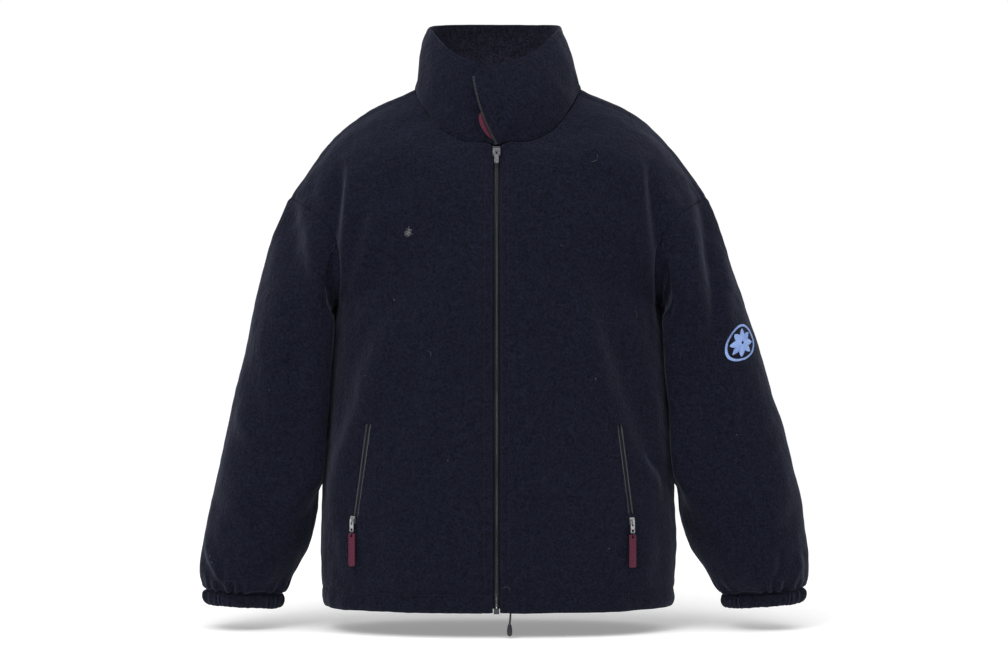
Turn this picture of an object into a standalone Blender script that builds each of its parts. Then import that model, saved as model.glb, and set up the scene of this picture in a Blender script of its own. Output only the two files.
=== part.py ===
"""A fleece zip jacket, filled out as if worn and hollow inside, at its real size in metres.

+X is the wearer's left, -Y is the front and +Z is up. The origin is between the two neck points,
where shoulders hold the jacket up. Each sewn piece is a wall of cloth on one shared form, which
sections from the tables below give, and each hard fitting is a solid of its own.
"""

import math

import bmesh
import bpy
import numpy as np
from mathutils import Matrix, Vector
from mathutils.bvhtree import BVHTree

# ---------------------------------------------------------------- driving sizes
FLEECE = 0.0025          # thickness of one layer of fleece
COLLAR_WALL = 0.0048     # the collar is two layers
CUFF_WALL = 0.0032       # an elasticated band
SEAM_GAP = 0.0007        # space between sewn pieces
MITRE_LIMIT = 0.65       # a wall grows to at most the inverse of this where a seam is folded
CLEAR = 0.0006           # space between a piece and what lies on it
PLACKET = 0.0045         # from the centre line to the folded edge of a front
SIDE_LEAN = 0.009        # the wearer's left half is this share wider, the right half narrower

CHAIN_WIDTH = 0.0056
CHAIN_HEIGHT = 0.0026
TAPE_WIDTH = 0.013
TAPE_HEIGHT = 0.0008
ZIP_DEPTH = 0.0060       # how far the zip tape lies behind the outer face of the fronts
ZIP_TOP = -0.084         # top of the main slider
ZIP_BOTTOM = -0.699
CHAIN_TOP_GAP = 0.016    # the chain starts this far below the top of the slider
CHAIN_LOW_GAP = 0.003    # and ends this far above the foot of the tapes, over the stop

POCKET_SLOT = 0.0055     # width of the slit that a pocket zip closes
POCKET_TAPE = 0.016
BAG_DEPTH = 0.006        # how far the pocket bag stands behind the front
POCKET_TAPE_HEIGHT = 0.0012
BAG_BEHIND = 0.0048      # from the inner face of the front to the pocket bag
BAG_SHEET = 0.0012
BAG_TOP = -0.452
BAG_HEIGHT = 0.168
BAG_INNER_X = 0.070
BAG_WIDTH = 0.128
TAB_SIZE = (0.010, 0.0018, 0.044)

MAIN_SLIDER = (0.0100, 0.0150, 0.0042)     # width, length and height
POCKET_SLIDER = (0.0072, 0.0100, 0.0030)
BRIDGE_OUT = 0.0011      # from a slider's face to its pull's axle
BRIDGE_WIDTH = 0.0018
AXLE = 0.0006            # half the thickness of a pull
EYE = (0.0030, -AXLE, -0.0062)             # the hole round the bridge: width, top and bottom
MAIN_PULL = (0.0058, -0.0190)              # width and lowest point
POCKET_PULL = (0.0062, -0.0160)
POCKET_PULL_EYE = (0.0034, -0.0110, -0.0146)
RING_TOP = -0.0140
RING_RADIUS = 0.0030
RING_WIRE = 0.0006
TAB_OVER_RING = 0.0022   # the tab's end reaches this far up into the ring
TAB_EYE = (0.0034, 0.0014, 0.0050)         # its hole: width, and how far its top and foot lie below

TOOTH_ROW = (0.0034, 0.0022)               # width and height of an open row of teeth
TEETH_BEYOND = 0.0026    # from the collar's edge to the middle of the row
TEETH_BEHIND = 0.0036    # from the collar's outer face to the back of the row
UNDERLAP_WIDTH = 0.0105  # the maroon tape that shows beside the flap
UNDERLAP_BEHIND = 0.0052
CORD_DIAMETER = 0.0026

ROWS_BELOW = 15          # rows of the mesh from hem to armpit
ACROSS_FRONT = 12        # columns of a front, and of each half of the back
COLLAR_ROWS = 6


def table(columns, *rows):
    """A dictionary with an array for each named column."""
    return dict(zip(columns.split(), np.array(rows, float).T))


# The body below the armpits, from the hem edge up: level sections of a rounded oblong.
BODY = table(
    "z      half    front   back    fullness wall",
    (-0.706, 0.2390, 0.1365, 0.1320, 2.40, 0.0045),
    (-0.695, 0.2420, 0.1410, 0.1365, 2.40, 0.0045),
    (-0.682, 0.2415, 0.1392, 0.1345, 2.40, 0.0035),
    (-0.664, 0.2432, 0.1440, 0.1385, 2.40, FLEECE),
    (-0.620, 0.2437, 0.1460, 0.1390, 2.42, FLEECE),
    (-0.560, 0.2430, 0.1470, 0.1375, 2.45, FLEECE),
    (-0.480, 0.2388, 0.1480, 0.1350, 2.45, FLEECE),
    (-0.400, 0.2330, 0.1495, 0.1335, 2.42, FLEECE),
    (-0.345, 0.2292, 0.1505, 0.1345, 2.40, FLEECE),
    (-0.300, 0.2255, 0.1505, 0.1365, 2.35, FLEECE),
)

# A front above the armpit: rows from the armpit up to the shoulder seam. Each runs from the centre
# edge or the neckline to the armhole. curl rounds it to the side, belly and crown lift its middle.
FRONT_TOP = table(
    "in_x   in_y    in_z    out_x   out_y   out_z   curl  belly  crown",
    (0.0000, -0.1505, -0.300, 0.2255, 0.000, -0.300, 1.00, 0.000, 0.000),
    (0.0000, -0.1500, -0.262, 0.2215, -0.030, -0.2965, 0.80, 0.003, 0.000),
    (0.0000, -0.1480, -0.222, 0.2160, -0.062, -0.2820, 0.58, 0.007, 0.001),
    (0.0000, -0.1430, -0.178, 0.2135, -0.088, -0.2570, 0.36, 0.012, 0.003),
    (0.0000, -0.1320, -0.130, 0.2165, -0.101, -0.2260, 0.18, 0.017, 0.007),
    (0.0000, -0.1140, -0.082, 0.2275, -0.099, -0.1960, 0.05, 0.021, 0.014),
    (0.0420, -0.1080, -0.077, 0.2440, -0.083, -0.1750, 0.00, 0.022, 0.022),
    (0.0750, -0.0920, -0.060, 0.2600, -0.060, -0.1625, 0.00, 0.019, 0.028),
    (0.1010, -0.0580, -0.026, 0.2745, -0.036, -0.1535, 0.00, 0.012, 0.031),
    (0.1150, -0.0140, 0.002, 0.2875, -0.014, -0.1470, 0.00, 0.000, 0.029),
)
FRONT_NECK_ROW = 5

# Half of the back, from the armpit up over the shoulder to the same seam.
BACK_TOP = table(
    "in_x   in_y    in_z    out_x   out_y   out_z   curl  belly  crown",
    (0.0000, 0.1365, -0.300, 0.2255, 0.000, -0.300, 1.00, 0.000, 0.000),
    (0.0000, 0.1400, -0.247, 0.2220, 0.030, -0.2965, 0.80, -0.002, 0.000),
    (0.0000, 0.1420, -0.195, 0.2175, 0.062, -0.2810, 0.56, -0.005, 0.001),
    (0.0000, 0.1390, -0.143, 0.2160, 0.089, -0.2550, 0.34, -0.009, 0.005),
    (0.0000, 0.1290, -0.093, 0.2205, 0.103, -0.2250, 0.16, -0.012, 0.010),
    (0.0000, 0.1120, -0.044, 0.2310, 0.101, -0.1960, 0.05, -0.015, 0.016),
    (0.0000, 0.0880, 0.000, 0.2450, 0.087, -0.1750, 0.00, -0.018, 0.022),
    (0.0450, 0.0800, 0.004, 0.2590, 0.064, -0.1610, 0.00, -0.015, 0.028),
    (0.0830, 0.0560, 0.007, 0.2720, 0.038, -0.1515, 0.00, -0.009, 0.032),
    (0.1060, 0.0220, 0.007, 0.2830, 0.011, -0.1458, 0.00, -0.003, 0.033),
    (0.1150, -0.0140, 0.002, 0.2875, -0.014, -0.1470, 0.00, 0.000, 0.029),
)
BACK_NECK_ROW = 6

# A sleeve: rings from the armhole to the cuff seam. Each has its outer and inner point and how far
# it reaches to the front and to the back. x is measured outwards from the centre line.
SLEEVE_COLUMNS = "out_x out_z in_x in_z front back"
SLEEVE_RIGHT = table(
    SLEEVE_COLUMNS,
    (0.2850, -0.1470, 0.2235, -0.300, -0.104, 0.106),
    (0.2970, -0.1760, 0.2275, -0.318, -0.102, 0.104),
    (0.3090, -0.2080, 0.2300, -0.336, -0.097, 0.100),
    (0.3210, -0.2470, 0.2322, -0.358, -0.091, 0.095),
    (0.3335, -0.2920, 0.2345, -0.382, -0.086, 0.090),
    (0.3455, -0.3520, 0.2368, -0.418, -0.082, 0.084),
    (0.3590, -0.4110, 0.2395, -0.457, -0.081, 0.078),
    (0.3700, -0.4620, 0.2425, -0.494, -0.082, 0.073),
    (0.3805, -0.5100, 0.2445, -0.532, -0.083, 0.067),
    (0.3930, -0.5650, 0.2470, -0.577, -0.083, 0.061),
    (0.4025, -0.6150, 0.2570, -0.622, -0.081, 0.055),
    (0.4080, -0.6420, 0.2700, -0.647, -0.077, 0.049),
    (0.4080, -0.6610, 0.2815, -0.667, -0.072, 0.043),
    (0.4035, -0.6780, 0.2900, -0.683, -0.064, 0.036),
    (0.4005, -0.6840, 0.2965, -0.690, -0.059, 0.031),
)
SLEEVE_LEFT = table(
    SLEEVE_COLUMNS,
    (0.2895, -0.1460, 0.2275, -0.300, -0.104, 0.106),
    (0.2995, -0.1730, 0.2318, -0.318, -0.102, 0.104),
    (0.3110, -0.2040, 0.2345, -0.336, -0.097, 0.100),
    (0.3240, -0.2430, 0.2368, -0.358, -0.091, 0.095),
    (0.3405, -0.2900, 0.2390, -0.382, -0.086, 0.090),
    (0.3610, -0.3520, 0.2415, -0.418, -0.082, 0.084),
    (0.3785, -0.4110, 0.2445, -0.457, -0.081, 0.078),
    (0.3955, -0.4640, 0.2472, -0.494, -0.082, 0.073),
    (0.4080, -0.5150, 0.2492, -0.532, -0.083, 0.067),
    (0.4195, -0.5670, 0.2515, -0.577, -0.083, 0.061),
    (0.4255, -0.6150, 0.2660, -0.624, -0.081, 0.055),
    (0.4278, -0.6430, 0.2820, -0.651, -0.077, 0.049),
    (0.4270, -0.6640, 0.2950, -0.672, -0.072, 0.043),
    (0.4235, -0.6770, 0.3055, -0.685, -0.064, 0.036),
    (0.4210, -0.6820, 0.3125, -0.6905, -0.059, 0.031),
)
ARMHOLE_FADE = 5         # rings over which the armhole's own shape gives way to an oval
CUFF_DROP = 0.0205       # height of a cuff band
CUFF_RINGS = ((0.0, 1.00), (0.35, 1.05), (0.70, 1.04), (1.0, 0.97))

# The collar: stations along half of it from the front end (0) to the centre back (8), each with its
# middle and its top. The wearer's left half crosses the centre and lies over the right half.
COLLAR_COLUMNS = "mid_x mid_y mid_z top_x top_y top_z"
COLLAR_LEFT = table(
    COLLAR_COLUMNS,
    (-0.0190, -0.1210, -0.032, -0.0290, -0.1170, 0.0220),
    (0.0160, -0.1190, -0.026, 0.0000, -0.1110, 0.0270),
    (0.0520, -0.1050, -0.014, 0.0300, -0.0980, 0.0360),
    (0.0820, -0.0780, 0.006, 0.0590, -0.0740, 0.0540),
    (0.1005, -0.0360, 0.034, 0.0820, -0.0360, 0.0790),
    (0.1040, 0.0020, 0.046, 0.0900, 0.0060, 0.0910),
    (0.0880, 0.0500, 0.051, 0.0780, 0.0450, 0.0980),
    (0.0490, 0.0800, 0.052, 0.0430, 0.0700, 0.1015),
    (0.0000, 0.0880, 0.052, 0.0000, 0.0770, 0.1025),
)
COLLAR_RIGHT = table(
    COLLAR_COLUMNS,
    (0.0010, -0.1060, -0.028, -0.0040, -0.0970, 0.0235),
    (0.0300, -0.1040, -0.024, 0.0180, -0.0960, 0.0280),
    (0.0600, -0.0940, -0.012, 0.0440, -0.0860, 0.0380),
    (0.0870, -0.0700, 0.008, 0.0700, -0.0650, 0.0560),
    (0.1020, -0.0330, 0.034, 0.0885, -0.0320, 0.0790),
    (0.1060, 0.0020, 0.046, 0.0945, 0.0080, 0.0910),
    (0.0900, 0.0500, 0.051, 0.0800, 0.0450, 0.0980),
    (0.0500, 0.0800, 0.052, 0.0440, 0.0700, 0.1015),
    (0.0000, 0.0880, 0.052, 0.0000, 0.0770, 0.1025),
)

# The largest folds, each a bowed line on the cloth seen from the front (face -1) or back (face 1).
# lift is its height, or its depth if less than 0, and sharp narrows it on the side away from bow.
FOLDS = table(
    "face x0      z0      x1      z1      bow     width  lift    sharp",
    (-1, -0.2110, -0.110, -0.2270, -0.320, -0.008, 0.022, -0.013, 0.45),   # under the right arm
    (-1, 0.2060, -0.115, 0.2310, -0.330, 0.006, 0.022, -0.014, 0.45),      # under the left arm
    (-1, -0.1400, -0.250, -0.2250, -0.565, 0.014, 0.030, 0.006, 0.70),     # right chest to hip
    (-1, 0.1420, -0.262, 0.2040, -0.500, -0.012, 0.030, -0.006, 0.70),     # left chest to hip
    (-1, -0.2640, -0.165, -0.2350, -0.300, -0.010, 0.020, 0.008, 0.60),    # right sleeve head
    (-1, 0.2680, -0.160, 0.2760, -0.350, 0.004, 0.018, 0.007, 0.60),       # left sleeve head
    (1, -0.2140, -0.120, -0.2260, -0.320, -0.006, 0.024, -0.012, 0.50),    # behind the right arm
    (1, 0.2120, -0.120, 0.2300, -0.320, 0.006, 0.024, -0.012, 0.50),       # behind the left arm
    (1, -0.1200, -0.240, -0.2050, -0.480, 0.012, 0.034, 0.005, 0.80),      # right shoulder blade
    (1, 0.1300, -0.250, 0.2000, -0.520, -0.010, 0.034, 0.005, 0.80),       # left shoulder blade
)

# Each pocket: the line of its zip and where its slider and tab hang, seen from the front.
POCKETS = {
    "right": {"top": (-0.1710, -0.454), "bottom": (-0.1870, -0.5665), "slider": (-0.1905, -0.5830)},
    "left": {"top": (0.1645, -0.4556), "bottom": (0.1785, -0.5620), "slider": (0.1790, -0.5840)},
}
CORD_X = 0.0175
CORD_TOP = -0.6880
CORD_LOW = -0.7200

MATERIALS = {
    "fleece": ((0.020, 0.021, 0.036, 1.0), 0.95, 0.0),
    "binding": ((0.022, 0.023, 0.038, 1.0), 0.85, 0.0),
    "zip_tape": ((0.030, 0.030, 0.034, 1.0), 0.80, 0.0),
    "zip_teeth": ((0.075, 0.075, 0.068, 1.0), 0.45, 0.0),
    "metal": ((0.60, 0.60, 0.62, 1.0), 0.28, 1.0),
    "maroon": ((0.170, 0.022, 0.055, 1.0), 0.60, 0.0),
    "cord": ((0.018, 0.018, 0.028, 1.0), 0.75, 0.0),
    "moulding": ((0.014, 0.014, 0.020, 1.0), 0.50, 0.0),
}


# ---------------------------------------------------------------- small helpers
def clear_scene():
    for found in list(bpy.data.objects):
        bpy.data.objects.remove(found, do_unlink=True)


def coat(item, name):
    """Gives the object a material of its own with the named finish."""
    colour, roughness, metallic = MATERIALS[name]
    finish = bpy.data.materials.new(item.name + "_" + name)
    finish.use_nodes = True
    shader = finish.node_tree.nodes["Principled BSDF"]
    shader.inputs["Base Color"].default_value = colour
    shader.inputs["Roughness"].default_value = roughness
    shader.inputs["Metallic"].default_value = metallic
    item.data.materials.append(finish)


def new_object(name, points, faces, finish):
    """A closed mesh object with its faces turned outwards."""
    mesh = bpy.data.meshes.new(name)
    mesh.from_pydata([tuple(map(float, p)) for p in points], [], [tuple(map(int, f)) for f in faces])
    work = bmesh.new()
    work.from_mesh(mesh)
    bmesh.ops.recalc_face_normals(work, faces=work.faces)
    work.to_mesh(mesh)
    work.free()
    mesh.shade_smooth()
    mesh.set_sharp_from_angle(angle=math.radians(40))
    item = bpy.data.objects.new(name, mesh)
    bpy.context.scene.collection.objects.link(item)
    coat(item, finish)
    return item


def smooth(values, at):
    """A curve through the values, read at fractional row numbers."""
    values = np.asarray(values, float)
    at = np.asarray(at, float)
    start = np.clip(np.floor(at).astype(int), 0, len(values) - 2)
    t = at - start
    slope = np.gradient(values)
    low, high = values[start], values[start + 1]
    return (
        low * (2 * t**3 - 3 * t**2 + 1)
        + slope[start] * (t**3 - 2 * t**2 + t)
        + high * (3 * t**2 - 2 * t**3)
        + slope[start + 1] * (t**3 - t**2)
    )


def unit(vectors):
    return vectors / np.maximum(np.linalg.norm(vectors, axis=-1, keepdims=True), 1e-12)


# ---------------------------------------------------------------- the shared form
BODY_LAST = len(BODY["z"]) - 1
FINE = np.linspace(0, BODY_LAST, 400)
FINE_Z = smooth(BODY["z"], FINE)


def body_rows():
    """Fractional rows of BODY, closer together at the hem."""
    hem = [0, 1, 2, 3]
    upper = np.linspace(BODY["z"][3], BODY["z"][-1], ROWS_BELOW - 3)[1:]
    return np.array(hem + list(np.interp(upper, FINE_Z, FINE)))


def section(face, side, rows, steps):
    """Points of a half panel: rows up from the hem, steps from the centre (0) to the outside (1)."""
    top = FRONT_TOP if face < 0 else BACK_TOP
    depth = BODY["front"] if face < 0 else BODY["back"]
    rows = np.asarray(rows, float)
    flat = np.zeros(BODY_LAST)
    edge = PLACKET if face < 0 else 0.0

    def whole(below, column):
        return smooth(np.concatenate([below, top[column]]), rows)[:, None]

    def split(below, column):
        lower = smooth(below, np.minimum(rows, BODY_LAST))
        upper = smooth(top[column], np.maximum(rows - BODY_LAST, 0))
        return np.where(rows <= BODY_LAST, lower, upper)[:, None]

    in_x = whole(flat, "in_x")
    in_y = whole(depth[:-1] * face, "in_y")
    in_z = whole(BODY["z"][:-1], "in_z")
    out_x = split(BODY["half"], "out_x")
    out_y = split(np.zeros(BODY_LAST + 1), "out_y")
    out_z = split(BODY["z"], "out_z")
    curl = np.clip(whole(flat + 1, "curl"), 0, 1)
    belly = whole(flat, "belly")
    crown = whole(flat, "crown")
    full = smooth(np.append(BODY["fullness"], [2.2] * (len(top["in_x"]) - 1)), rows)[:, None]

    s = np.asarray(steps, float)[None, :]
    turn = s * math.pi / 2
    round_x = np.sin(turn) ** (2 / full)
    round_y = 1 - np.cos(turn) ** (2 / full)
    share_x = curl * round_x + (1 - curl) * s
    share_y = curl * round_y + (1 - curl) * s
    x = in_x + (out_x - in_x) * share_x
    y = in_y + (out_y - in_y) * share_y - belly * np.sin(math.pi * s)
    z = in_z + (out_z - in_z) * share_x + crown * np.sin(math.pi * s**1.2)
    x = np.maximum(x, edge) if face < 0 else x
    return np.stack([x * side * (1 + SIDE_LEAN * side), y, z], axis=-1)


def panel_rows(face):
    top = FRONT_TOP if face < 0 else BACK_TOP
    return np.append(body_rows(), BODY_LAST + np.arange(1, len(top["in_x"])))


def panel_steps():
    return np.linspace(0, 1, ACROSS_FRONT) ** 0.94


def wall_of(rows):
    return np.interp(rows, np.arange(BODY_LAST + 1), BODY["wall"])


def armhole(side):
    """The ring of points where body and sleeve meet, from the armpit up the front and down the back."""
    rise = len(FRONT_TOP["out_x"])
    front = section(-1, side, panel_rows(-1), [1.0])[-rise:, 0]
    back = section(1, side, panel_rows(1), [1.0])[-rise:, 0]
    return np.concatenate([front, back[:-1][::-1]])


def ring_of(row, side, angles):
    """One oval ring of a sleeve. The angle is 0 at its outer point and turns to the front."""
    outer = np.array([row["out_x"], 0, row["out_z"]])
    inner = np.array([row["in_x"], 0, row["in_z"]])
    middle, reach = (outer + inner) / 2, (outer - inner) / 2
    cos, sin = np.cos(angles), np.sin(angles)
    depth = np.where(sin > 0, -row["front"], row["back"])
    centre_y = (row["front"] + row["back"]) / 2
    half_y = (row["back"] - row["front"]) / 2
    blend = 0.35 + 0.65 * np.abs(sin)
    y = -(depth * sin) * blend + (centre_y - half_y * sin) * (1 - blend)
    points = middle + cos[:, None] * reach
    points[:, 1] = y
    return points * np.array([side, 1, 1])


def ring_angles(ring, row, side):
    """The angle of each armhole point on the sleeve's first oval."""
    flat = ring * np.array([side, 1, 1])
    outer = np.array([row["out_x"], row["out_z"]])
    inner = np.array([row["in_x"], row["in_z"]])
    middle, reach = (outer + inner) / 2, (outer - inner) / 2
    along = (flat[:, [0, 2]] - middle) @ reach / (reach @ reach)
    depth = np.where(flat[:, 1] < 0, -row["front"], row["back"])
    return np.unwrap(np.arctan2(-flat[:, 1] / depth, along))


def sleeve_rings(side):
    """All rings of a sleeve, each with the armhole's number of points."""
    rows = SLEEVE_LEFT if side > 0 else SLEEVE_RIGHT
    ring = armhole(side)
    each = [{name: rows[name][i] for name in rows} for i in range(len(rows["out_x"]))]
    start = ring_angles(ring, each[0], side)
    turn = np.sign(start[-1] - start[0]) * 2 * math.pi
    even = np.linspace(start[0], start[0] + turn, len(ring), False)
    own_shape = ring - ring_of(each[0], side, start)
    rings = []
    for i, row in enumerate(each):
        fade = max(0.0, 1 - i / ARMHOLE_FADE)
        fade = fade * fade * (3 - 2 * fade)
        angles = start * fade + even * (1 - fade)
        ring = ring_of(row, side, angles) + own_shape * fade
        if i > 0:
            ring[:, 0] = side * np.maximum(side * ring[:, 0], row["in_x"])
        rings.append(ring)
    return np.array(rings), each[-1], even


def cuff_rings(side):
    """The rings of an elasticated band below the sleeve, the first on the sleeve's last ring."""
    _, last, angles = sleeve_rings(side)
    slope = (last["out_z"] - last["in_z"]) / (last["out_x"] - last["in_x"])
    rings = []
    for share, swell in CUFF_RINGS:
        row = dict(last)
        centre = (last["out_x"] + last["in_x"]) / 2
        half = (last["out_x"] - last["in_x"]) / 2 * swell
        row["out_x"], row["in_x"] = centre + half, centre - half
        drop = CUFF_DROP * share
        row["out_z"] = last["out_z"] - drop
        row["in_z"] = last["in_z"] - drop - slope * 0.002 * share
        row["front"], row["back"] = last["front"] * swell, last["back"] * swell
        rings.append(ring_of(row, side, angles))
    return np.array(rings)


def neckline():
    """The collar's base, from the wearer's left front end round the back to the right front end."""
    front_rows = panel_rows(-1)[-(len(FRONT_TOP["in_x"]) - FRONT_NECK_ROW):]
    back_rows = panel_rows(1)[-(len(BACK_TOP["in_x"]) - BACK_NECK_ROW):]
    halves = []
    for side in (1, -1):
        front = section(-1, side, front_rows, [0.0])[:, 0]
        back = section(1, side, back_rows, [0.0])[:, 0]
        halves.append(np.concatenate([front, back[:-1][::-1]]))
    return np.concatenate([halves[0], halves[1][:-1][::-1]])


def collar_grid():
    """Rows from the neckline to the rim, each a smooth curve through base, middle and top."""
    base = neckline()
    half = len(COLLAR_LEFT["mid_x"])
    middle = np.stack([COLLAR_LEFT["mid_" + a] for a in "xyz"], axis=-1)
    top = np.stack([COLLAR_LEFT["top_" + a] for a in "xyz"], axis=-1)
    other_middle = np.stack([COLLAR_RIGHT["mid_" + a] for a in "xyz"], axis=-1) * (-1, 1, 1)
    other_top = np.stack([COLLAR_RIGHT["top_" + a] for a in "xyz"], axis=-1) * (-1, 1, 1)
    middle = np.concatenate([middle, other_middle[:half - 1][::-1]])
    top = np.concatenate([top, other_top[:half - 1][::-1]])
    v = np.linspace(0, 1, COLLAR_ROWS)[:, None, None]
    return base * (1 - v) * (1 - 2 * v) + middle * 4 * v * (1 - v) + top * v * (2 * v - 1)


def fold_lift(points, normals):
    """How far the folds push each point out along its normal."""
    total = np.zeros(len(points))
    for i in range(len(FOLDS["face"])):
        fold = {name: FOLDS[name][i] for name in FOLDS}
        start = np.array([fold["x0"], fold["z0"]])
        chord = np.array([fold["x1"], fold["z1"]]) - start
        length = np.linalg.norm(chord)
        ahead = chord / length
        away = points[:, [0, 2]] - start
        t = away @ ahead / length
        held = np.clip(t, 0, 1)
        across = away @ np.array([-ahead[1], ahead[0]]) - fold["bow"] * 4 * held * (1 - held)
        wide = np.where(across * fold["bow"] < 0, fold["width"] * fold["sharp"], fold["width"])
        profile = np.exp(-((across / wide) ** 2))
        taper = np.sin(math.pi * held) ** 0.7
        facing = np.clip(normals[:, 1] * fold["face"] * 1.6, 0, 1)
        total += fold["lift"] * profile * taper * facing
    return total


# ---------------------------------------------------------------- cloth pieces
def grid_faces(rows, columns, closed=False):
    faces = []
    for r in range(rows - 1):
        for c in range(columns if closed else columns - 1):
            d = (c + 1) % columns
            low, high = r * columns, (r + 1) * columns
            faces.append((low + c, low + d, high + d, high + c))
    return faces


def piece(name, points, faces, wall, finish="fleece", centre=(0.0, 0.0, -0.35)):
    """A sewn piece as points and quads whose faces are turned away from the centre."""
    points = np.asarray(points, float)
    faces = np.asarray(faces)
    corners = points[faces]
    normal = np.cross(corners[:, 2] - corners[:, 0], corners[:, 3] - corners[:, 1])
    if (normal * (corners.mean(axis=1) - np.array(centre))).sum() < 0:
        faces = faces[:, ::-1]
    return {"name": name, "points": points, "faces": faces, "wall": wall, "finish": finish}


def back_piece():
    """Both halves of the back, joined along the centre up to the neck."""
    rows, steps = panel_rows(1), panel_steps()
    left = section(1, 1, rows, steps)
    right = section(1, -1, rows, steps)
    count, columns = left.shape[:2]
    points = np.concatenate([left.reshape(-1, 3), right.reshape(-1, 3)])
    faces = np.array(grid_faces(count, columns))
    both = np.concatenate([faces, faces[:, ::-1] + count * columns])
    joined = count - (len(BACK_TOP["in_x"]) - BACK_NECK_ROW) + 1
    same = np.arange(len(points))
    same[count * columns + np.arange(joined) * columns] = np.arange(joined) * columns
    used, packed = np.unique(same, return_inverse=True)
    walls = np.repeat(wall_of(rows), columns)
    walls = np.concatenate([walls, walls])[used]
    return piece("back", points[used], packed[both], walls)


def cloth_pieces():
    pieces = []
    for side, word in ((1, "left"), (-1, "right")):
        rows, steps = panel_rows(-1), panel_steps()
        grid = section(-1, side, rows, steps)
        faces = grid_faces(*grid.shape[:2])
        walls = np.repeat(wall_of(rows), len(steps))
        pieces.append(piece("front_" + word, grid.reshape(-1, 3), faces, walls))
    pieces.append(back_piece())
    for side, word in ((1, "left"), (-1, "right")):
        rings = sleeve_rings(side)[0]
        points = rings.reshape(-1, 3)
        faces = grid_faces(*rings.shape[:2], closed=True)
        walls = np.full(len(points), FLEECE)
        pieces.append(piece("sleeve_" + word, points, faces, walls, "fleece", points.mean(axis=0)))
        rings = cuff_rings(side)
        points = rings.reshape(-1, 3)
        faces = grid_faces(*rings.shape[:2], closed=True)
        walls = np.full(len(points), CUFF_WALL)
        pieces.append(piece("cuff_" + word, points, faces, walls, "binding", points.mean(axis=0)))
    grid = collar_grid()
    points = grid.reshape(-1, 3)
    walls = np.full(len(points), COLLAR_WALL)
    pieces.append(piece("collar", points, grid_faces(*grid.shape[:2]), walls, "fleece", (0, 0, 0)))
    return pieces


SEWN_GROUPS = {"front": "body", "back": "body", "sleeve": "sleeve", "cuff": "sleeve", "collar": "collar"}


def shared_normals(pieces, keys):
    """Normals of all pieces together, so that pieces that meet at a seam agree there."""
    by_group = {name: np.zeros((keys.max() + 1, 3)) for name in SEWN_GROUPS.values()}
    start = 0
    for item in pieces:
        total = by_group[SEWN_GROUPS[item["name"].split("_")[0]]]
        corners = item["points"][item["faces"]]
        normal = np.cross(corners[:, 2] - corners[:, 0], corners[:, 3] - corners[:, 1])
        for k in range(4):
            np.add.at(total, keys[start + item["faces"][:, k]], normal)
        start += len(item["points"])
    start = 0
    for item in pieces:
        stop = start + len(item["points"])
        item["own"] = unit(by_group[SEWN_GROUPS[item["name"].split("_")[0]]])[keys[start:stop]]
        start = stop
    return unit(sum(unit(total) for total in by_group.values()))


def fold_and_measure(pieces):
    """Puts the folds into all pieces and gives each its normals."""
    every = np.concatenate([item["points"] for item in pieces])
    _, keys = np.unique(np.round(every, 6), axis=0, return_inverse=True)
    keys = keys.reshape(-1)
    normals = shared_normals(pieces, keys)
    start = 0
    for item in pieces:
        stop = start + len(item["points"])
        own = normals[keys[start:stop]]
        item["points"] = item["points"] + own * fold_lift(item["points"], own)[:, None]
        start = stop
    normals = shared_normals(pieces, keys)
    least = np.full(keys.max() + 1, 1.0)
    start = 0
    for item in pieces:
        stop = start + len(item["points"])
        item["normals"] = normals[keys[start:stop]]
        lean = (item["normals"] * item["own"]).sum(axis=1)
        item["wall"] = item["wall"] / np.clip(lean, MITRE_LIMIT, 1)
        np.minimum.at(least, keys[start:stop], item["wall"])
        start = stop
    start = 0
    for item in pieces:
        stop = start + len(item["points"])
        item["wall"] = least[keys[start:stop]]
        start = stop


def edges_of(faces):
    """The directed edges that only one face uses."""
    found = set()
    for face in faces:
        for a, b in zip(face, np.roll(face, -1)):
            found.add((int(a), int(b)))
    return [(a, b) for a, b in sorted(found) if (b, a) not in found]


def drawn_in(points, faces, edges, normals):
    """The points with each free edge moved half a seam gap into its piece, level with the shared normals."""
    middle = points[faces].mean(axis=1)
    owner = {}
    for f, face in enumerate(faces):
        for a, b in zip(face, np.roll(face, -1)):
            owner[(int(a), int(b))] = f
    pull = np.zeros_like(points)
    for a, b in edges:
        along = unit(points[b] - points[a])
        inward = middle[owner[(a, b)]] - points[a]
        for end in (a, b):
            across = np.cross(along, normals[end])
            pull[end] += unit(across) * np.sign(across @ inward)
    return points + unit(pull) * (SEAM_GAP / 2)


def cloth_solid(item):
    """A closed wall: the outer face, the inner face a wall's thickness in, and the rim."""
    faces, edges = item["faces"], edges_of(item["faces"])
    outer = drawn_in(item["points"], faces, edges, item["normals"])
    inner = outer - item["normals"] * item["wall"][:, None]
    count = len(outer)
    solid = [tuple(f) for f in faces] + [tuple(f[::-1] + count) for f in faces]
    solid += [(b, a, a + count, b + count) for a, b in edges]
    return new_object(item["name"], np.concatenate([outer, inner]), solid, item["finish"])


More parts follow.
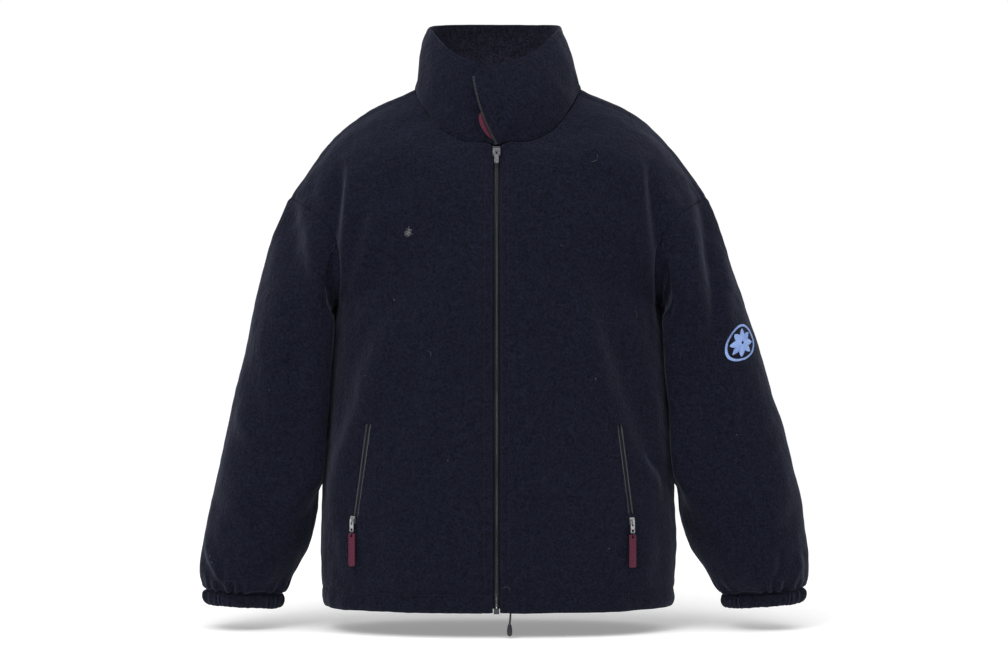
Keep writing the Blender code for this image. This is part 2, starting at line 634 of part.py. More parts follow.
# ---------------------------------------------------------------- places on a front
def on_front(panels, x, z, off=0.0):
    """The faceted front's point at this x and z below the armpit, moved out by off, and its normal."""
    side = 1 if x > 0 else -1
    row = float(np.interp(z, FINE_Z, FINE))
    steps = np.linspace(0, 1, 600)
    spread = section(-1, side, [row], steps)[0]
    s = float(np.interp(abs(x), np.abs(spread[:, 0]), steps))
    near = section(-1, side, [row - 0.05, row + 0.05], [max(s - 0.01, 0), s, min(s + 0.01, 1)])
    up = near[1, 1] - near[0, 1]
    along = (near[:, 2] - near[:, 0]).mean(axis=0)
    normal = unit(np.cross(along, up))
    normal = normal if normal[1] < 0 else -normal
    hit = panels["left" if side > 0 else "right"].ray_cast(Vector((x, -1.0, z)), Vector((0, 1, 0)))[0]
    return np.array(hit) + normal * off, normal


def centre_line(count, top=ZIP_TOP, bottom=ZIP_BOTTOM):
    """Points of the centre front from the hem up, and the outward direction at each."""
    rows = np.linspace(0, BODY_LAST + FRONT_NECK_ROW, 400)
    line = section(-1, 1, rows, [0.0])[:, 0] * (0, 1, 1)
    heights = np.linspace(bottom, top, count)
    points = np.stack([np.interp(heights, line[:, 2], line[:, a]) for a in range(3)], axis=-1)
    points[:, 2] = heights
    out = unit(np.cross(np.gradient(points, axis=0), (1.0, 0.0, 0.0)))
    return points, np.where(out[:, 1:2] > 0, -out, out)


def ribbon(name, path, across, out, widths, height, finish):
    """A strip of rectangular section along the path, its back on the path."""
    path, across, out = (np.asarray(a, float) for a in (path, across, out))
    half = (np.ones(len(path)) * widths / 2)[:, None]
    near = path - across * half
    far = path + across * half
    corners = np.stack([near, far, far + out * height, near + out * height], axis=1)
    faces = grid_faces(len(path), 4, closed=True)
    last = 4 * (len(path) - 1)
    faces += [(0, 1, 2, 3), (last, last + 1, last + 2, last + 3)]
    return new_object(name, corners.reshape(-1, 3), faces, finish)


# ---------------------------------------------------------------- zips and fittings
def main_zip():
    line, out = centre_line(30)
    across = np.tile((1.0, 0.0, 0.0), (len(line), 1))
    back = line - out * (ZIP_DEPTH + TAPE_HEIGHT)
    for side, word in ((1, "left"), (-1, "right")):
        offset = across * side * (TAPE_WIDTH / 2 + SEAM_GAP)
        ribbon("zip_tape_" + word, back + offset, across, out, TAPE_WIDTH, TAPE_HEIGHT, "zip_tape")
    line, out = centre_line(30, ZIP_TOP - CHAIN_TOP_GAP, ZIP_BOTTOM + CHAIN_LOW_GAP)
    back = line - out * (ZIP_DEPTH - SEAM_GAP)
    ribbon("zip_chain", back, across, out, CHAIN_WIDTH, CHAIN_HEIGHT, "zip_teeth")


def collar_teeth():
    """The open row of teeth beyond each front edge of the collar."""
    grid = collar_grid()
    for word, edge, beside in (("left", grid[:, 0], grid[:, 1]), ("right", grid[:, -1], grid[:, -2])):
        beyond = unit(edge - beside)
        ahead = unit(np.gradient(edge, axis=0))
        out = unit(np.cross(beyond, ahead))
        out = np.where(out[:, 1:2] > 0, -out, out)
        path = edge + beyond * TEETH_BEYOND - out * TEETH_BEHIND
        ribbon("collar_teeth_" + word, path[1:], beyond[1:], out[1:], *TOOTH_ROW, "zip_teeth")


def collar_tape():
    """A narrow maroon tape behind the flap's teeth, tapered to both ends."""
    grid = collar_grid()
    v = np.linspace(0.15, 0.50, 9)
    rows = np.linspace(0, 1, COLLAR_ROWS)
    edge = np.stack([np.interp(v, rows, grid[:, 0, a]) for a in range(3)], axis=-1)
    beside = np.stack([np.interp(v, rows, grid[:, 1, a]) for a in range(3)], axis=-1)
    across = unit(edge - beside)
    ahead = unit(np.gradient(edge, axis=0))
    out = unit(np.cross(across, ahead))
    out = np.where(out[:, 1:2] > 0, -out, out)
    share = (v - v[0]) / (v[-1] - v[0])
    widths = 0.003 + (UNDERLAP_WIDTH - 0.003) * np.sin(math.pi * share)
    path = edge + across * (TEETH_BEYOND + widths[:, None] / 2) - out * UNDERLAP_BEHIND
    ribbon("collar_tape", path, across, out, widths, TAPE_HEIGHT, "maroon")


def prism(name, outline, width, frame, finish):
    """An outline of (out, up) points, as wide as given across, placed by the frame."""
    count = len(outline)
    points = [frame @ Vector((x, -out, up)) for x in (-width / 2, width / 2) for out, up in outline]
    faces = [tuple(range(count)), tuple(range(count, 2 * count))[::-1]]
    faces += [(i, (i + 1) % count, (i + 1) % count + count, i + count) for i in range(count)]
    return new_object(name, points, faces, finish)


def join(target, helper):
    """Unites a hidden helper with the target by a Boolean modifier."""
    helper.hide_render = True
    helper.display_type = "WIRE"
    union = target.modifiers.new("join", "BOOLEAN")
    union.operation = "UNION"
    union.object = helper


def cut(target, helper):
    join(target, helper)
    target.modifiers[-1].operation = "DIFFERENCE"


def fitting_frame(point, normal):
    """Local X level along the cloth, local -Y out of it and Z up it, at the point."""
    out = Vector(tuple(map(float, normal))).normalized()
    side = (-out).cross(Vector((0, 0, 1))).normalized()
    turn = Matrix((side, -out, side.cross(-out))).transposed().to_4x4()
    return Matrix.Translation(Vector(tuple(map(float, point)))) @ turn


def slider(name, frame, width, length, height):
    """A wedge-topped body and a bridge whose lower foot stays just open."""
    half = length / 2
    wedge = [
        (0, -half), (height * 0.8, -half), (height, -half * 0.6),
        (height, half * 0.5), (height * 0.6, half), (0, half),
    ]
    body = prism(name, wedge, width, frame, "metal")
    face = height
    inner, outer = face + BRIDGE_OUT + AXLE + 0.0005, face + BRIDGE_OUT + AXLE + 0.0017
    hook = [
        (face - 0.0006, 0.0040), (outer - 0.0006, 0.0040), (outer, 0.0028),
        (outer, -0.0030), (outer - 0.0006, -0.0038), (face + 0.0004, -0.0038),
        (face + 0.0004, -0.0026), (inner, -0.0026), (inner, 0.0026), (face - 0.0006, 0.0026),
    ]
    join(body, prism(name + "_bridge", hook, BRIDGE_WIDTH, frame, "metal"))
    return frame @ Vector((0, -(face + BRIDGE_OUT), 0))


def plate(name, frame, width, top, bottom, holes, finish, thick=2 * AXLE):
    """A flat plate hanging in the frame's X and Z, with square-cornered holes and its origin at the frame."""
    chamfer = width * 0.18
    half = width / 2
    rim = [
        (-half, top), (half, top), (half, bottom + chamfer),
        (half - chamfer, bottom), (-half + chamfer, bottom), (-half, bottom + chamfer),
    ]
    count = len(rim)
    points = [(x, y, z) for y in (-thick / 2, thick / 2) for x, z in rim]
    faces = [tuple(range(count)), tuple(range(count, 2 * count))[::-1]]
    faces += [(i, (i + 1) % count, (i + 1) % count + count, i + count) for i in range(count)]
    item = new_object(name, points, faces, finish)
    item.matrix_world = frame
    for number, (wide, high, low) in enumerate(holes):
        outline = ((-wide / 2, low), (wide / 2, low), (wide / 2, high), (-wide / 2, high))
        corners = [(x, y, z) for y in (-thick, thick) for x, z in outline]
        sides = [(0, 1, 2, 3), (7, 6, 5, 4), (0, 1, 5, 4), (1, 2, 6, 5), (2, 3, 7, 6), (3, 0, 4, 7)]
        helper = new_object(f"{name}_hole_{number}", corners, sides, finish)
        helper.matrix_world = frame
        cut(item, helper)
    return item


def frame_at(frame, place):
    moved = frame.copy()
    moved.translation = place
    return moved


def main_slider():
    line, out = centre_line(3, ZIP_TOP, ZIP_TOP - 0.016)
    frame = fitting_frame(line[1] + out[1] * CLEAR, out[1])
    axle = slider("zip_slider", frame, *MAIN_SLIDER)
    width, lowest = MAIN_PULL
    plate("zip_pull", frame_at(frame, axle), width, AXLE, lowest, [EYE], "metal")
    stop, _ = centre_line(3, ZIP_BOTTOM, ZIP_BOTTOM - 0.006)
    low = fitting_frame(stop[1] + np.array([0, ZIP_DEPTH - 0.0018, 0]), (0.0, -1.0, 0.0))
    block = [(0, -0.004), (0.0036, -0.004), (0.0036, 0.0035), (0, 0.0035)]
    prism("zip_stop", block, 0.0075, low, "zip_teeth")


def pocket_slot(word):
    """(x, z) places along a pocket's slit, from its top down."""
    place = POCKETS[word]
    ends = np.array([place["top"], place["bottom"]])
    return np.array([ends[0] * (1 - t) + ends[1] * t for t in np.linspace(0, 1, 9)])


def pocket(word, fronts, panels):
    """The slit, the zip behind it, the bag and the fittings."""
    places = pocket_slot(word)
    found = [on_front(panels, x, z) for x, z in places]
    points = np.array([f[0] for f in found])
    normals = np.array([f[1] for f in found])
    ahead = unit(np.gradient(points, axis=0))
    across = unit(np.cross(ahead, normals))
    reach = 0.012
    cutter = ribbon(
        f"pocket_cut_{word}", points - normals * reach, across, normals, POCKET_SLOT, 2 * reach, "zip_tape"
    )
    cut(fronts[word], cutter)
    longer = np.concatenate([[points[0] - ahead[0] * 0.006], points, [points[-1] + ahead[-1] * 0.008]])
    more_normals = np.concatenate([normals[:1], normals, normals[-1:]])
    more_across = np.concatenate([across[:1], across, across[-1:]])
    back = longer - more_normals * (FLEECE + CLEAR + 2 * POCKET_TAPE_HEIGHT)
    zip_name = f"pocket_zip_{word}"
    ribbon(zip_name, back, more_across, more_normals, POCKET_TAPE, POCKET_TAPE_HEIGHT, "zip_tape")
    pocket_bag(word, panels)
    pocket_fittings(word, panels)


def pocket_bag(word, panels):
    """A plain bag panel behind the front, made from the front's points moved inwards."""
    side = 1 if word == "left" else -1
    rows, columns = 7, 6
    outer, inner = [], []
    for r in range(rows):
        z = BAG_TOP - BAG_HEIGHT * r / (rows - 1)
        for c in range(columns):
            x = side * (BAG_INNER_X + BAG_WIDTH * c / (columns - 1))
            swell = math.sin(math.pi * r / (rows - 1)) * math.sin(math.pi * c / (columns - 1))
            point, normal = on_front(panels, x, z, -(FLEECE + BAG_BEHIND) - BAG_DEPTH * swell)
            outer.append(point)
            inner.append(point - normal * BAG_SHEET)
    count = rows * columns
    faces = [tuple(f) for f in grid_faces(rows, columns)]
    solid = faces + [tuple(i + count for i in f[::-1]) for f in faces]
    solid += [(b, a, a + count, b + count) for a, b in edges_of(np.array(faces))]
    new_object("pocket_bag_" + word, outer + inner, solid, "fleece")


def pocket_fittings(word, panels):
    """The slider at the foot of the zip, and the pull, ring and tab that hang from it as one."""
    point, normal = on_front(panels, *POCKETS[word]["slider"])
    level = unit(normal * (1, 1, 0))
    frame = fitting_frame(point + level * 2 * CLEAR, level)
    axle = slider("pocket_slider_" + word, frame, *POCKET_SLIDER)
    hang = frame_at(frame, axle)
    width, lowest = POCKET_PULL
    plate("pocket_pull_" + word, hang, width, AXLE, lowest, [EYE, POCKET_PULL_EYE], "metal")
    bpy.ops.mesh.primitive_torus_add(
        major_radius=RING_RADIUS, minor_radius=RING_WIRE, major_segments=16, minor_segments=6
    )
    loop = bpy.context.object
    loop.name = "pocket_ring_" + word
    loop.data.name = loop.name
    loop.data.transform(Matrix.Rotation(math.pi / 2, 4, "Y"))
    loop.data.transform(Matrix.Translation(Vector((0, 0, RING_TOP - RING_RADIUS))))
    loop.matrix_world = hang
    coat(loop, "metal")
    width, thick, length = TAB_SIZE
    top = RING_TOP - 2 * RING_RADIUS + TAB_OVER_RING
    eye = (TAB_EYE[0], top - TAB_EYE[1], top - TAB_EYE[2])
    plate("pocket_tab_" + word, hang, width, top, top - length, [eye], "maroon", thick)


# ---------------------------------------------------------------- the hem cord
def hem_cord():
    """The free end of the hem cord behind the hem, and the moulded drop on it."""
    depth = BODY["front"][0]
    inside = -depth + BODY["wall"][0] + CORD_DIAMETER / 2 + 0.0030
    curve = bpy.data.curves.new("drawcord", "CURVE")
    curve.dimensions = "3D"
    spline = curve.splines.new("POLY")
    heights = np.linspace(CORD_TOP, CORD_LOW, 8)
    spline.points.add(len(heights) - 1)
    for point, z in zip(spline.points, heights):
        sway = 0.0012 * math.sin((z - CORD_TOP) / (CORD_LOW - CORD_TOP) * math.pi)
        point.co = (CORD_X + sway, inside + 0.0006 * (CORD_TOP - z) / (CORD_TOP - CORD_LOW), z, 1)
    curve.bevel_depth = CORD_DIAMETER / 2
    curve.bevel_resolution = 2
    curve.use_fill_caps = True
    cord = bpy.data.objects.new("drawcord", curve)
    bpy.context.scene.collection.objects.link(cord)
    coat(cord, "cord")
    rings = (
        (0.0, 0.0018), (0.0020, 0.0026), (0.0070, 0.0034),
        (0.0120, 0.0036), (0.0150, 0.0026), (0.0162, 0.0010),
    )
    sides = 12
    points = []
    for drop, radius in rings:
        for k in range(sides):
            angle = 2 * math.pi * k / sides
            points.append((
                CORD_X + radius * math.cos(angle),
                inside + 0.0006 + radius * math.sin(angle),
                CORD_LOW - 0.0003 - drop,
            ))
    faces = grid_faces(len(rings), sides, closed=True)
    last = sides * (len(rings) - 1)
    faces += [tuple(range(sides)), tuple(range(last, last + sides))[::-1]]
    new_object("drawcord_end", points, faces, "moulding")


# ---------------------------------------------------------------- the jacket
def build():
    clear_scene()
    pieces = cloth_pieces()
    fold_and_measure(pieces)
    solids = {item["name"]: cloth_solid(item) for item in pieces}
    main_zip()
    collar_teeth()
    collar_tape()
    main_slider()
    fronts = {"left": solids["front_left"], "right": solids["front_right"]}
    panels = {
        item["name"][6:]: BVHTree.FromPolygons(item["points"].tolist(), item["faces"].tolist())
        for item in pieces
        if item["name"].startswith("front_")
    }
    for word in ("left", "right"):
        pocket(word, fronts, panels)
    hem_cord()


build()
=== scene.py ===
"""The look of a navy fleece zip jacket, filled out as if worn, on its own CAD frame.

Every sewn piece is a thin shell on the form that the sizes below give, with its creases listed one
by one in the cloth's own sizes. The hard fittings keep their CAD solids and get rounded edges.
+X is the wearer's left, -Y the front and +Z up, in metres.
"""

import math

import bmesh
import bpy
import numpy as np
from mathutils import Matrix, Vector
from mathutils.bvhtree import BVHTree

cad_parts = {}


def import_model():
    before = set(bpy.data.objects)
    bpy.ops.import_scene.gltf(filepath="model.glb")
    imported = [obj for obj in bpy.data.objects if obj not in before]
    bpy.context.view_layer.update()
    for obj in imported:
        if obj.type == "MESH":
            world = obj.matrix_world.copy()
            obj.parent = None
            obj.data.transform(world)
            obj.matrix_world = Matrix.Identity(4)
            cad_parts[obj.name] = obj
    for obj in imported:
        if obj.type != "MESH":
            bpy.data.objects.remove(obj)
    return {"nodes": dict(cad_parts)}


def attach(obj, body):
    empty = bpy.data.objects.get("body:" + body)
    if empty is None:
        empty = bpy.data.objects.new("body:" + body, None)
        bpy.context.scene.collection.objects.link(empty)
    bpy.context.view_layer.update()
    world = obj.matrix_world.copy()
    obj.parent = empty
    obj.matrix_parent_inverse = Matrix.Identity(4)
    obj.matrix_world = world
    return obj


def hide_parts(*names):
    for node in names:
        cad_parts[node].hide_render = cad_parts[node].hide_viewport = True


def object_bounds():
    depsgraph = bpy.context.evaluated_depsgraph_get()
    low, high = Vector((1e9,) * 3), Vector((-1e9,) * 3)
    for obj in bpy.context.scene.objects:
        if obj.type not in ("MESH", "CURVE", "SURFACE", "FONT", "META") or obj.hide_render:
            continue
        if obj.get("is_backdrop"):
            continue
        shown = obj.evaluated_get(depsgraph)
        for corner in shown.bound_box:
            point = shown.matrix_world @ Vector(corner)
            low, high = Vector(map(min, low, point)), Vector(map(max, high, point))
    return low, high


# ---------------------------------------------------------------- sizes of the form
FLEECE = 0.0022          # one layer of fleece
COLLAR_WALL = 0.0042     # two layers
CUFF_WALL = 0.0030       # an elasticated band
SEAM_GAP = 0.0004        # dark line between two sewn pieces
MITRE_LIMIT = 0.65       # keeps the wall from growing too thick where two pieces meet at an angle
WALL_SHARE = 0.88        # of a front's or the back's wall in the CAD
PLACKET = 0.0045         # from the centre line to the folded edge of a front
SIDE_LEAN = 0.009        # the wearer's left half is this share wider, the right half narrower
ZIP_DEPTH = 0.0060       # from the cloth's outer face to the zip behind it
ZIP_TOP = -0.084
ZIP_BOTTOM = -0.699
CHAIN_TOP_GAP = 0.016
CHAIN_LOW_GAP = 0.003
POCKET_SLOT = 0.0078     # width of a pocket's slit, whose zip lets it gape a little
SLIT_LOWER = 1.12        # the slit runs on to the slider, past the length between its ends
SLEEVE_LAP = 0.0055      # how far a sleeve reaches in before and behind the body's widest line
SLEEVE_CLEAR = 0.0050    # from the body's side to the sleeve that hangs along it
TUCK_TOP = -0.288        # the heights between which it does so
TUCK_LOW = -0.600
CORD_X = 0.0175          # where the hem cord hangs
CORD_TOP = -0.6880
CORD_LOW = -0.7200
CORD_DIAMETER = 0.0026

# ---------------------------------------------------------------- how finely it is made
FINE_HEM = 0.046         # height above the hem that has close rows
ROW_STEP = 0.0038
HEM_STEP = 0.0022
ROWS_FRONT_TOP = 84      # rows from armpit to shoulder seam
ROWS_BACK_TOP = 92
ACROSS = 76              # columns of a half panel, besides the close ones at its edges
RINGS_SLEEVE = 150
RINGS_CUFF = 14
ROWS_COLLAR = 34
EASE_REACH = 26          # rows to either side that soften a row at the armpits
EASE_SPREAD = 12
EASED_ROWS = 30
SINK = 0.0016            # how far the cloth dips into a seam
HEM_LINE = 0.0245        # from the hem's edge to its stitching
YOKE_LINE = 0.0120       # from the shoulder seam to its stitching
PLACKET_LINE = 0.0118    # from a front's edge to its stitching
RIM_LINE = 0.0075        # from the collar's rim to its stitching
END_LINE = 0.0070        # from the collar's ends to their stitching
STITCH = 0.0030          # length of a stitch
STITCH_PITCH = 0.0038
THREAD = 0.00028         # radius of a thread
UNDERLAP_SPAN = (0.09, 0.44)   # the shares of the collar's height between which its tape shows
UNDERLAP_WIDTH = 0.0082
TEETH_PITCH = 0.0022
MAIN_TOOTH = (0.0031, 0.00125, 0.0029)       # across, along and high
COLLAR_TOOTH = (0.0030, 0.0013, 0.0023)
POCKET_TOOTH = (0.0018, 0.0010, 0.0015)

GROUND = -0.7390         # the floor


def table(columns, *rows):
    """A dictionary with an array for each named column."""
    return dict(zip(columns.split(), np.array(rows, float).T))


# The body below the armpits, from the hem edge up: level sections of a rounded oblong.
BODY = table(
    "z      half    front   back    fullness wall",
    (-0.706, 0.2390, 0.1365, 0.1320, 2.40, 0.0045),
    (-0.695, 0.2420, 0.1410, 0.1365, 2.40, 0.0045),
    (-0.682, 0.2415, 0.1392, 0.1345, 2.40, 0.0035),
    (-0.664, 0.2432, 0.1440, 0.1385, 2.40, FLEECE),
    (-0.620, 0.2437, 0.1460, 0.1390, 2.42, FLEECE),
    (-0.560, 0.2430, 0.1470, 0.1375, 2.45, FLEECE),
    (-0.480, 0.2388, 0.1480, 0.1350, 2.45, FLEECE),
    (-0.400, 0.2330, 0.1495, 0.1335, 2.42, FLEECE),
    (-0.345, 0.2292, 0.1505, 0.1345, 2.40, FLEECE),
    (-0.300, 0.2255, 0.1505, 0.1365, 2.35, FLEECE),
)

# A front above the armpit: rows from the armpit up to the shoulder seam. Each runs from the centre
# edge or the neckline to the armhole. curl rounds it to the side, belly and crown lift its middle.
FRONT_TOP = table(
    "in_x   in_y    in_z    out_x   out_y   out_z   curl  belly  crown",
    (0.0000, -0.1505, -0.300, 0.2255, 0.000, -0.300, 1.00, 0.000, 0.000),
    (0.0000, -0.1500, -0.262, 0.2215, -0.030, -0.2965, 0.80, 0.003, 0.000),
    (0.0000, -0.1480, -0.222, 0.2160, -0.062, -0.2820, 0.58, 0.007, 0.001),
    (0.0000, -0.1430, -0.178, 0.2135, -0.088, -0.2570, 0.36, 0.012, 0.003),
    (0.0000, -0.1320, -0.130, 0.2165, -0.101, -0.2260, 0.18, 0.017, 0.007),
    (0.0000, -0.1140, -0.082, 0.2275, -0.099, -0.1960, 0.05, 0.021, 0.014),
    (0.0420, -0.1080, -0.077, 0.2440, -0.083, -0.1750, 0.00, 0.022, 0.022),
    (0.0750, -0.0920, -0.060, 0.2600, -0.060, -0.1625, 0.00, 0.019, 0.028),
    (0.1010, -0.0580, -0.026, 0.2745, -0.036, -0.1535, 0.00, 0.012, 0.031),
    (0.1150, -0.0140, 0.002, 0.2875, -0.014, -0.1470, 0.00, 0.000, 0.029),
)
FRONT_NECK_ROW = 5       # the row above which a front ends at the neckline

# Half of the back, from the armpit up over the shoulder to the same seam.
BACK_TOP = table(
    "in_x   in_y    in_z    out_x   out_y   out_z   curl  belly  crown",
    (0.0000, 0.1365, -0.300, 0.2255, 0.000, -0.300, 1.00, 0.000, 0.000),
    (0.0000, 0.1400, -0.247, 0.2220, 0.030, -0.2965, 0.80, -0.002, 0.000),
    (0.0000, 0.1420, -0.195, 0.2175, 0.062, -0.2810, 0.56, -0.005, 0.001),
    (0.0000, 0.1390, -0.143, 0.2160, 0.089, -0.2550, 0.34, -0.009, 0.005),
    (0.0000, 0.1290, -0.093, 0.2205, 0.103, -0.2250, 0.16, -0.012, 0.010),
    (0.0000, 0.1120, -0.044, 0.2310, 0.101, -0.1960, 0.05, -0.015, 0.016),
    (0.0000, 0.0880, 0.000, 0.2450, 0.087, -0.1750, 0.00, -0.018, 0.022),
    (0.0450, 0.0800, 0.004, 0.2590, 0.064, -0.1610, 0.00, -0.015, 0.028),
    (0.0830, 0.0560, 0.007, 0.2720, 0.038, -0.1515, 0.00, -0.009, 0.032),
    (0.1060, 0.0220, 0.007, 0.2830, 0.011, -0.1458, 0.00, -0.003, 0.033),
    (0.1150, -0.0140, 0.002, 0.2875, -0.014, -0.1470, 0.00, 0.000, 0.029),
)
BACK_NECK_ROW = 6        # the same for the back

# A sleeve: rings from the armhole to the cuff seam. Each has its outer and inner point and how far
# it reaches to the front and to the back. x is measured outwards from the centre line.
SLEEVE_COLUMNS = "out_x out_z in_x in_z front back"
SLEEVE_RIGHT = table(
    SLEEVE_COLUMNS,
    (0.2850, -0.1470, 0.2235, -0.300, -0.104, 0.106),
    (0.2970, -0.1760, 0.2275, -0.318, -0.102, 0.104),
    (0.3090, -0.2080, 0.2300, -0.336, -0.097, 0.100),
    (0.3210, -0.2470, 0.2322, -0.358, -0.091, 0.095),
    (0.3335, -0.2920, 0.2345, -0.382, -0.086, 0.090),
    (0.3455, -0.3520, 0.2368, -0.418, -0.082, 0.084),
    (0.3590, -0.4110, 0.2395, -0.457, -0.081, 0.078),
    (0.3700, -0.4620, 0.2425, -0.494, -0.082, 0.073),
    (0.3805, -0.5100, 0.2445, -0.532, -0.083, 0.067),
    (0.3930, -0.5650, 0.2470, -0.577, -0.083, 0.061),
    (0.4025, -0.6150, 0.2570, -0.622, -0.081, 0.055),
    (0.4080, -0.6420, 0.2700, -0.647, -0.077, 0.049),
    (0.4080, -0.6610, 0.2815, -0.667, -0.072, 0.043),
    (0.4035, -0.6780, 0.2900, -0.683, -0.064, 0.036),
    (0.4005, -0.6840, 0.2965, -0.690, -0.059, 0.031),
)
SLEEVE_LEFT = table(
    SLEEVE_COLUMNS,
    (0.2895, -0.1460, 0.2275, -0.300, -0.104, 0.106),
    (0.2995, -0.1730, 0.2318, -0.318, -0.102, 0.104),
    (0.3110, -0.2040, 0.2345, -0.336, -0.097, 0.100),
    (0.3240, -0.2430, 0.2368, -0.358, -0.091, 0.095),
    (0.3405, -0.2900, 0.2390, -0.382, -0.086, 0.090),
    (0.3610, -0.3520, 0.2415, -0.418, -0.082, 0.084),
    (0.3785, -0.4110, 0.2445, -0.457, -0.081, 0.078),
    (0.3955, -0.4640, 0.2472, -0.494, -0.082, 0.073),
    (0.4080, -0.5150, 0.2492, -0.532, -0.083, 0.067),
    (0.4195, -0.5670, 0.2515, -0.577, -0.083, 0.061),
    (0.4255, -0.6150, 0.2660, -0.624, -0.081, 0.055),
    (0.4278, -0.6430, 0.2820, -0.651, -0.077, 0.049),
    (0.4270, -0.6640, 0.2950, -0.672, -0.072, 0.043),
    (0.4235, -0.6770, 0.3055, -0.685, -0.064, 0.036),
    (0.4210, -0.6820, 0.3125, -0.6905, -0.059, 0.031),
)
ARMHOLE_FADE = 5         # rows over which the armhole's own shape gives way to an oval
CUFF_DROP = 0.0205       # height of a cuff band
CUFF_SWELL = np.array([1.00, 1.05, 1.055, 1.03, 0.965])  # its girth down its height

# The collar: stations along half of it from the front end (0) to the centre back (8), each with its
# middle and its top. The wearer's left half crosses the centre and lies over the right half.
COLLAR_COLUMNS = "mid_x mid_y mid_z top_x top_y top_z"
COLLAR_LEFT = table(
    COLLAR_COLUMNS,
    (-0.0190, -0.1210, -0.032, -0.0290, -0.1170, 0.0220),
    (0.0160, -0.1190, -0.026, 0.0000, -0.1110, 0.0270),
    (0.0520, -0.1050, -0.014, 0.0300, -0.0980, 0.0360),
    (0.0820, -0.0780, 0.006, 0.0590, -0.0740, 0.0540),
    (0.1005, -0.0360, 0.034, 0.0820, -0.0360, 0.0790),
    (0.1040, 0.0020, 0.046, 0.0900, 0.0060, 0.0910),
    (0.0880, 0.0500, 0.051, 0.0780, 0.0450, 0.0980),
    (0.0490, 0.0800, 0.052, 0.0430, 0.0700, 0.1015),
    (0.0000, 0.0880, 0.052, 0.0000, 0.0770, 0.1025),
)
COLLAR_RIGHT = table(
    COLLAR_COLUMNS,
    (0.0010, -0.1060, -0.028, -0.0040, -0.0970, 0.0235),
    (0.0300, -0.1040, -0.024, 0.0180, -0.0960, 0.0280),
    (0.0600, -0.0940, -0.012, 0.0440, -0.0860, 0.0380),
    (0.0870, -0.0700, 0.008, 0.0700, -0.0650, 0.0560),
    (0.1020, -0.0330, 0.034, 0.0885, -0.0320, 0.0790),
    (0.1060, 0.0020, 0.046, 0.0945, 0.0080, 0.0910),
    (0.0900, 0.0500, 0.051, 0.0800, 0.0450, 0.0980),
    (0.0500, 0.0800, 0.052, 0.0440, 0.0700, 0.1015),
    (0.0000, 0.0880, 0.052, 0.0000, 0.0770, 0.1025),
)

FLAP_CORNER = 0.0075     # how far the flap's corner is rounded down

# Each pocket: the line of its zip, seen from the front.
POCKETS = {
    "right": {"top": (-0.1710, -0.454), "bottom": (-0.1870, -0.5665)},
    "left": {"top": (0.1645, -0.4556), "bottom": (0.1785, -0.5620)},
}


